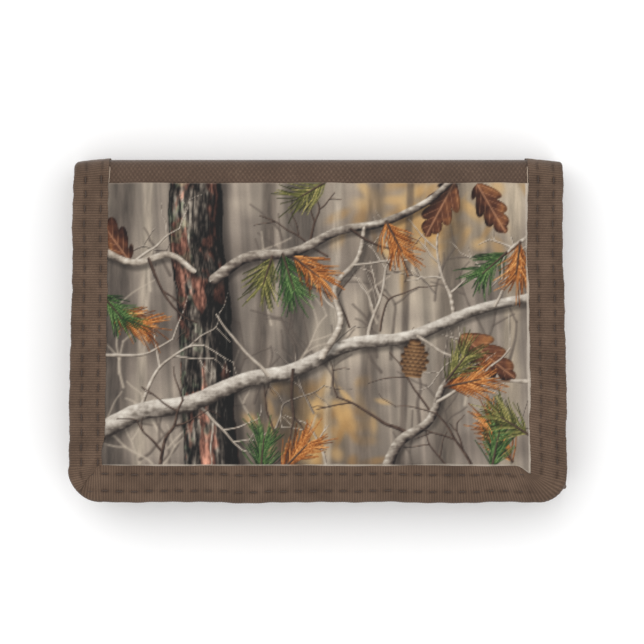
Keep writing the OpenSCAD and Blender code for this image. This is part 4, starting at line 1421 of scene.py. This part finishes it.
def make_window(m):
    node = "id_window_frame"
    x0, x1 = low("id_window", X) + 4, high("id_window", X) - 4
    y0, y1 = low("id_window", Y) + 4, high("id_window", Y) - 3
    x = np.concatenate([np.linspace(-BACK_HALF_W + 0.8, x0, 18), np.linspace(x0, x1, 40)[1:],
                        np.linspace(x1, BACK_HALF_W - 0.8, 18)[1:]])
    y = np.concatenate([np.linspace(low(node, Y), y0, 12), np.linspace(y0, y1, 24)[1:],
                        np.linspace(y1, high(node, Y), 8)[1:]])
    gx, gy = np.meshgrid((x[1:] + x[:-1]) / 2, (y[1:] + y[:-1]) / 2)
    hole = (gx > x0) & (gx < x1) & (gy > y0) & (gy < y1)
    z = high(node, Z)
    cloth = flat_sheet("window_frame_cloth", x, y, lambda gx, gy: pressed(gy, z), CLOTH, m["lining"],
                       hole=hole, seed=72, ripple=0.03)
    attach(cloth, "back_panel")
    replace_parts(cloth, node)
    vinyl = flat_sheet("window_vinyl", np.linspace(low("id_window", X), high("id_window", X), 60),
                       np.linspace(low("id_window", Y), high("id_window", Y), 40),
                       lambda gx, gy: pressed(gy, high("id_window", Z)) - 0.05, 0.25,
                       m["vinyl"], seed=73, ripple=0.03)
    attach(vinyl, "back_panel")
    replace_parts(vinyl, "id_window")
    mouth_binding("window_mouth", "back_panel", m, BACK_HALF_W - TAPE_W - 1.0, WINDOW_TOP_Y + 0.35,
                  z + 0.2, z - 0.62)


# ---------------------------------------------------------------- the inner flap


def make_inner_flap(m):
    end_y = TIP_Y - TAPE_W
    outer, inner = inner_paths(SPINE_OUT, SPINE_IN, end_y, True)
    left = plain_side_tape("inner_binding_left", -1, outer, inner, m["tape"], INNER_HALF_W, 25)
    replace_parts(over_inner_crease(left), "inner_tape_left")
    outer, inner = inner_paths(SPINE_OUT, SHELL_IN, end_y, False)
    right = plain_side_tape("inner_binding_right", 1, outer, inner, m["tape"], INNER_HALF_W, 26)
    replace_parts(over_inner_crease(right), "inner_tape_right")
    outer, inner = inner_paths(MOUTH_OUT, SPINE_IN, end_y, True)
    mouth = plain_side_tape("inner_binding_mouth", 1, outer, inner, m["tape"], INNER_HALF_W - 0.3, 27)
    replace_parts(over_inner_crease(mouth), "inner_mouth_tape")
    tip_y = TIP_Y - TAPE - 0.1
    shell = sheet_along("inner_outer_nylon", inner_paths(0.0, 0.0, tip_y, False)[0], INNER_HALF_W - 0.7, 0.5,
                        m["outer"], round_end=CORNER_R, seed=45)
    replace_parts(over_inner_crease(shell), "inner_shell")
    lining = sheet_along("inner_lining_cloth", inner_paths(-LINING_IN, LINING_IN, tip_y, False)[0],
                         INNER_HALF_W - 0.7, CLOTH, m["lining"], round_end=CORNER_R, seed=46)
    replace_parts(over_inner_crease(lining), "inner_lining")
    make_inner_tip(m)
    make_pocket("slip_pocket", "inner_flap", m, low("slip_pocket", Y), high("slip_pocket", Y),
                INNER_HALF_W - 0.7, 0.0)
    make_loops(m)
    make_stitches("inner_stitches", inner_stitch_points(), m, "inner_flap", "inner_stitching")


def make_inner_tip(m):
    """Binding round the inner flap's free end and both its corners."""
    top, bottom = high("inner_tape_tip", Z), low("inner_tape_tip", Z)
    base_y = TIP_Y - TAPE_W
    r = CORNER_R
    turn = np.linspace(0, np.pi / 2, 40)
    x = np.linspace(-(INNER_HALF_W - r), INNER_HALF_W - r, 240)[1:-1]
    left = np.column_stack([-(INNER_HALF_W - r) - r * np.cos(turn), TIP_Y - r + r * np.sin(turn)])
    right = np.column_stack([-left[::-1, 0], left[::-1, 1]])
    edge = np.concatenate([left, np.column_stack([x, np.full(len(x), TIP_Y)]), right])
    border_x = np.clip(edge[:, 0], -(INNER_HALF_W - TAPE_W), INNER_HALF_W - TAPE_W)
    border = np.column_stack([border_x, np.full(len(edge), base_y)])
    lines = [np.column_stack([flat, np.full(len(flat), z)]) for flat, z in
             ((edge, top), (border, top), (edge, bottom))]
    piece = folded_tape("inner_binding_tip", *lines, m["tape"], False, seed=28)
    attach(piece, "inner_flap")
    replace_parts(piece, "inner_tape_tip")


def inner_stitch_points():
    z = high("inner_tape_tip", Z) - 0.08
    stitches = []
    for row in (2.6, 6.6):
        for side in (-1, 1):
            for y in np.arange(BOTTOM_Y + 4.5, TIP_Y - TAPE_W, STITCH_PITCH):
                stitches.append(((side * (INNER_HALF_W - row), y, z), (0, 1, 0)))
        for x in np.arange(-INNER_HALF_W + TAPE_W, INNER_HALF_W - TAPE_W, STITCH_PITCH):
            stitches.append(((x, TIP_Y - row, z), (1, 0, 0)))
    return stitches


# ---------------------------------------------------------------- zip metal, floor, light and camera


def finish_zip(m):
    """The slider, pull and end stops keep their CAD shapes, with softened edges and nickel plating."""
    for name in ("zipper_slider", "zipper_pull", "zipper_end_stops"):
        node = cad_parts[name]
        node.data.materials.clear()
        node.data.materials.append(m["metal"])
        bevel = node.modifiers.new("bevel", "BEVEL")
        bevel.width = 0.12 * MM
        bevel.segments = 2
        bevel.limit_method = "ANGLE"


def make_stage():
    """A plain pale floor under soft studio light."""
    floor_material = bpy.data.materials.new("floor")
    floor_material.use_nodes = True
    shader = floor_material.node_tree.nodes["Principled BSDF"]
    shader.inputs["Base Color"].default_value = (0.97, 0.97, 0.97, 1)
    shader.inputs["Roughness"].default_value = 0.9
    bpy.ops.mesh.primitive_plane_add(size=6, location=(0, 0, -0.0006))
    floor = bpy.context.object
    floor.name = "floor"
    floor.data.materials.append(floor_material)
    world = bpy.data.worlds.new("studio")
    world.use_nodes = True
    world.node_tree.nodes["Background"].inputs["Color"].default_value = (1, 1, 1, 1)
    world.node_tree.nodes["Background"].inputs["Strength"].default_value = 0.80
    bpy.context.scene.world = world
    for name, place, power in (("key", (-0.25, 0.35, 0.95), 4.4), ("fill", (0.4, -0.3, 0.9), 2.4)):
        lamp = bpy.data.lights.new(name, "AREA")
        lamp.size = 1.0
        lamp.energy = power
        holder = bpy.data.objects.new(name, lamp)
        holder.location = place
        aim = -holder.location
        holder.rotation_euler = aim.to_track_quat("-Z", "Y").to_euler()
        bpy.context.collection.objects.link(holder)
    bpy.context.scene.view_settings.view_transform = "Standard"


def make_camera():
    """Straight above the wallet, a long lens, framed as a catalogue picture."""
    view_width = 155.5 * MM
    distance = 1.3
    camera = bpy.data.cameras.new("camera")
    camera.lens = 100
    camera.sensor_width = camera.lens * view_width / (distance - PRINT_Z * MM)
    holder = bpy.data.objects.new("camera", camera)
    holder.location = (1.0 * MM, 2.2 * MM, distance)
    bpy.context.collection.objects.link(holder)
    bpy.context.scene.camera = holder


make_camera()
materials = make_materials()
make_front_flap(materials)
make_back_panel(materials)
make_inner_flap(materials)
finish_zip(materials)
make_stage()
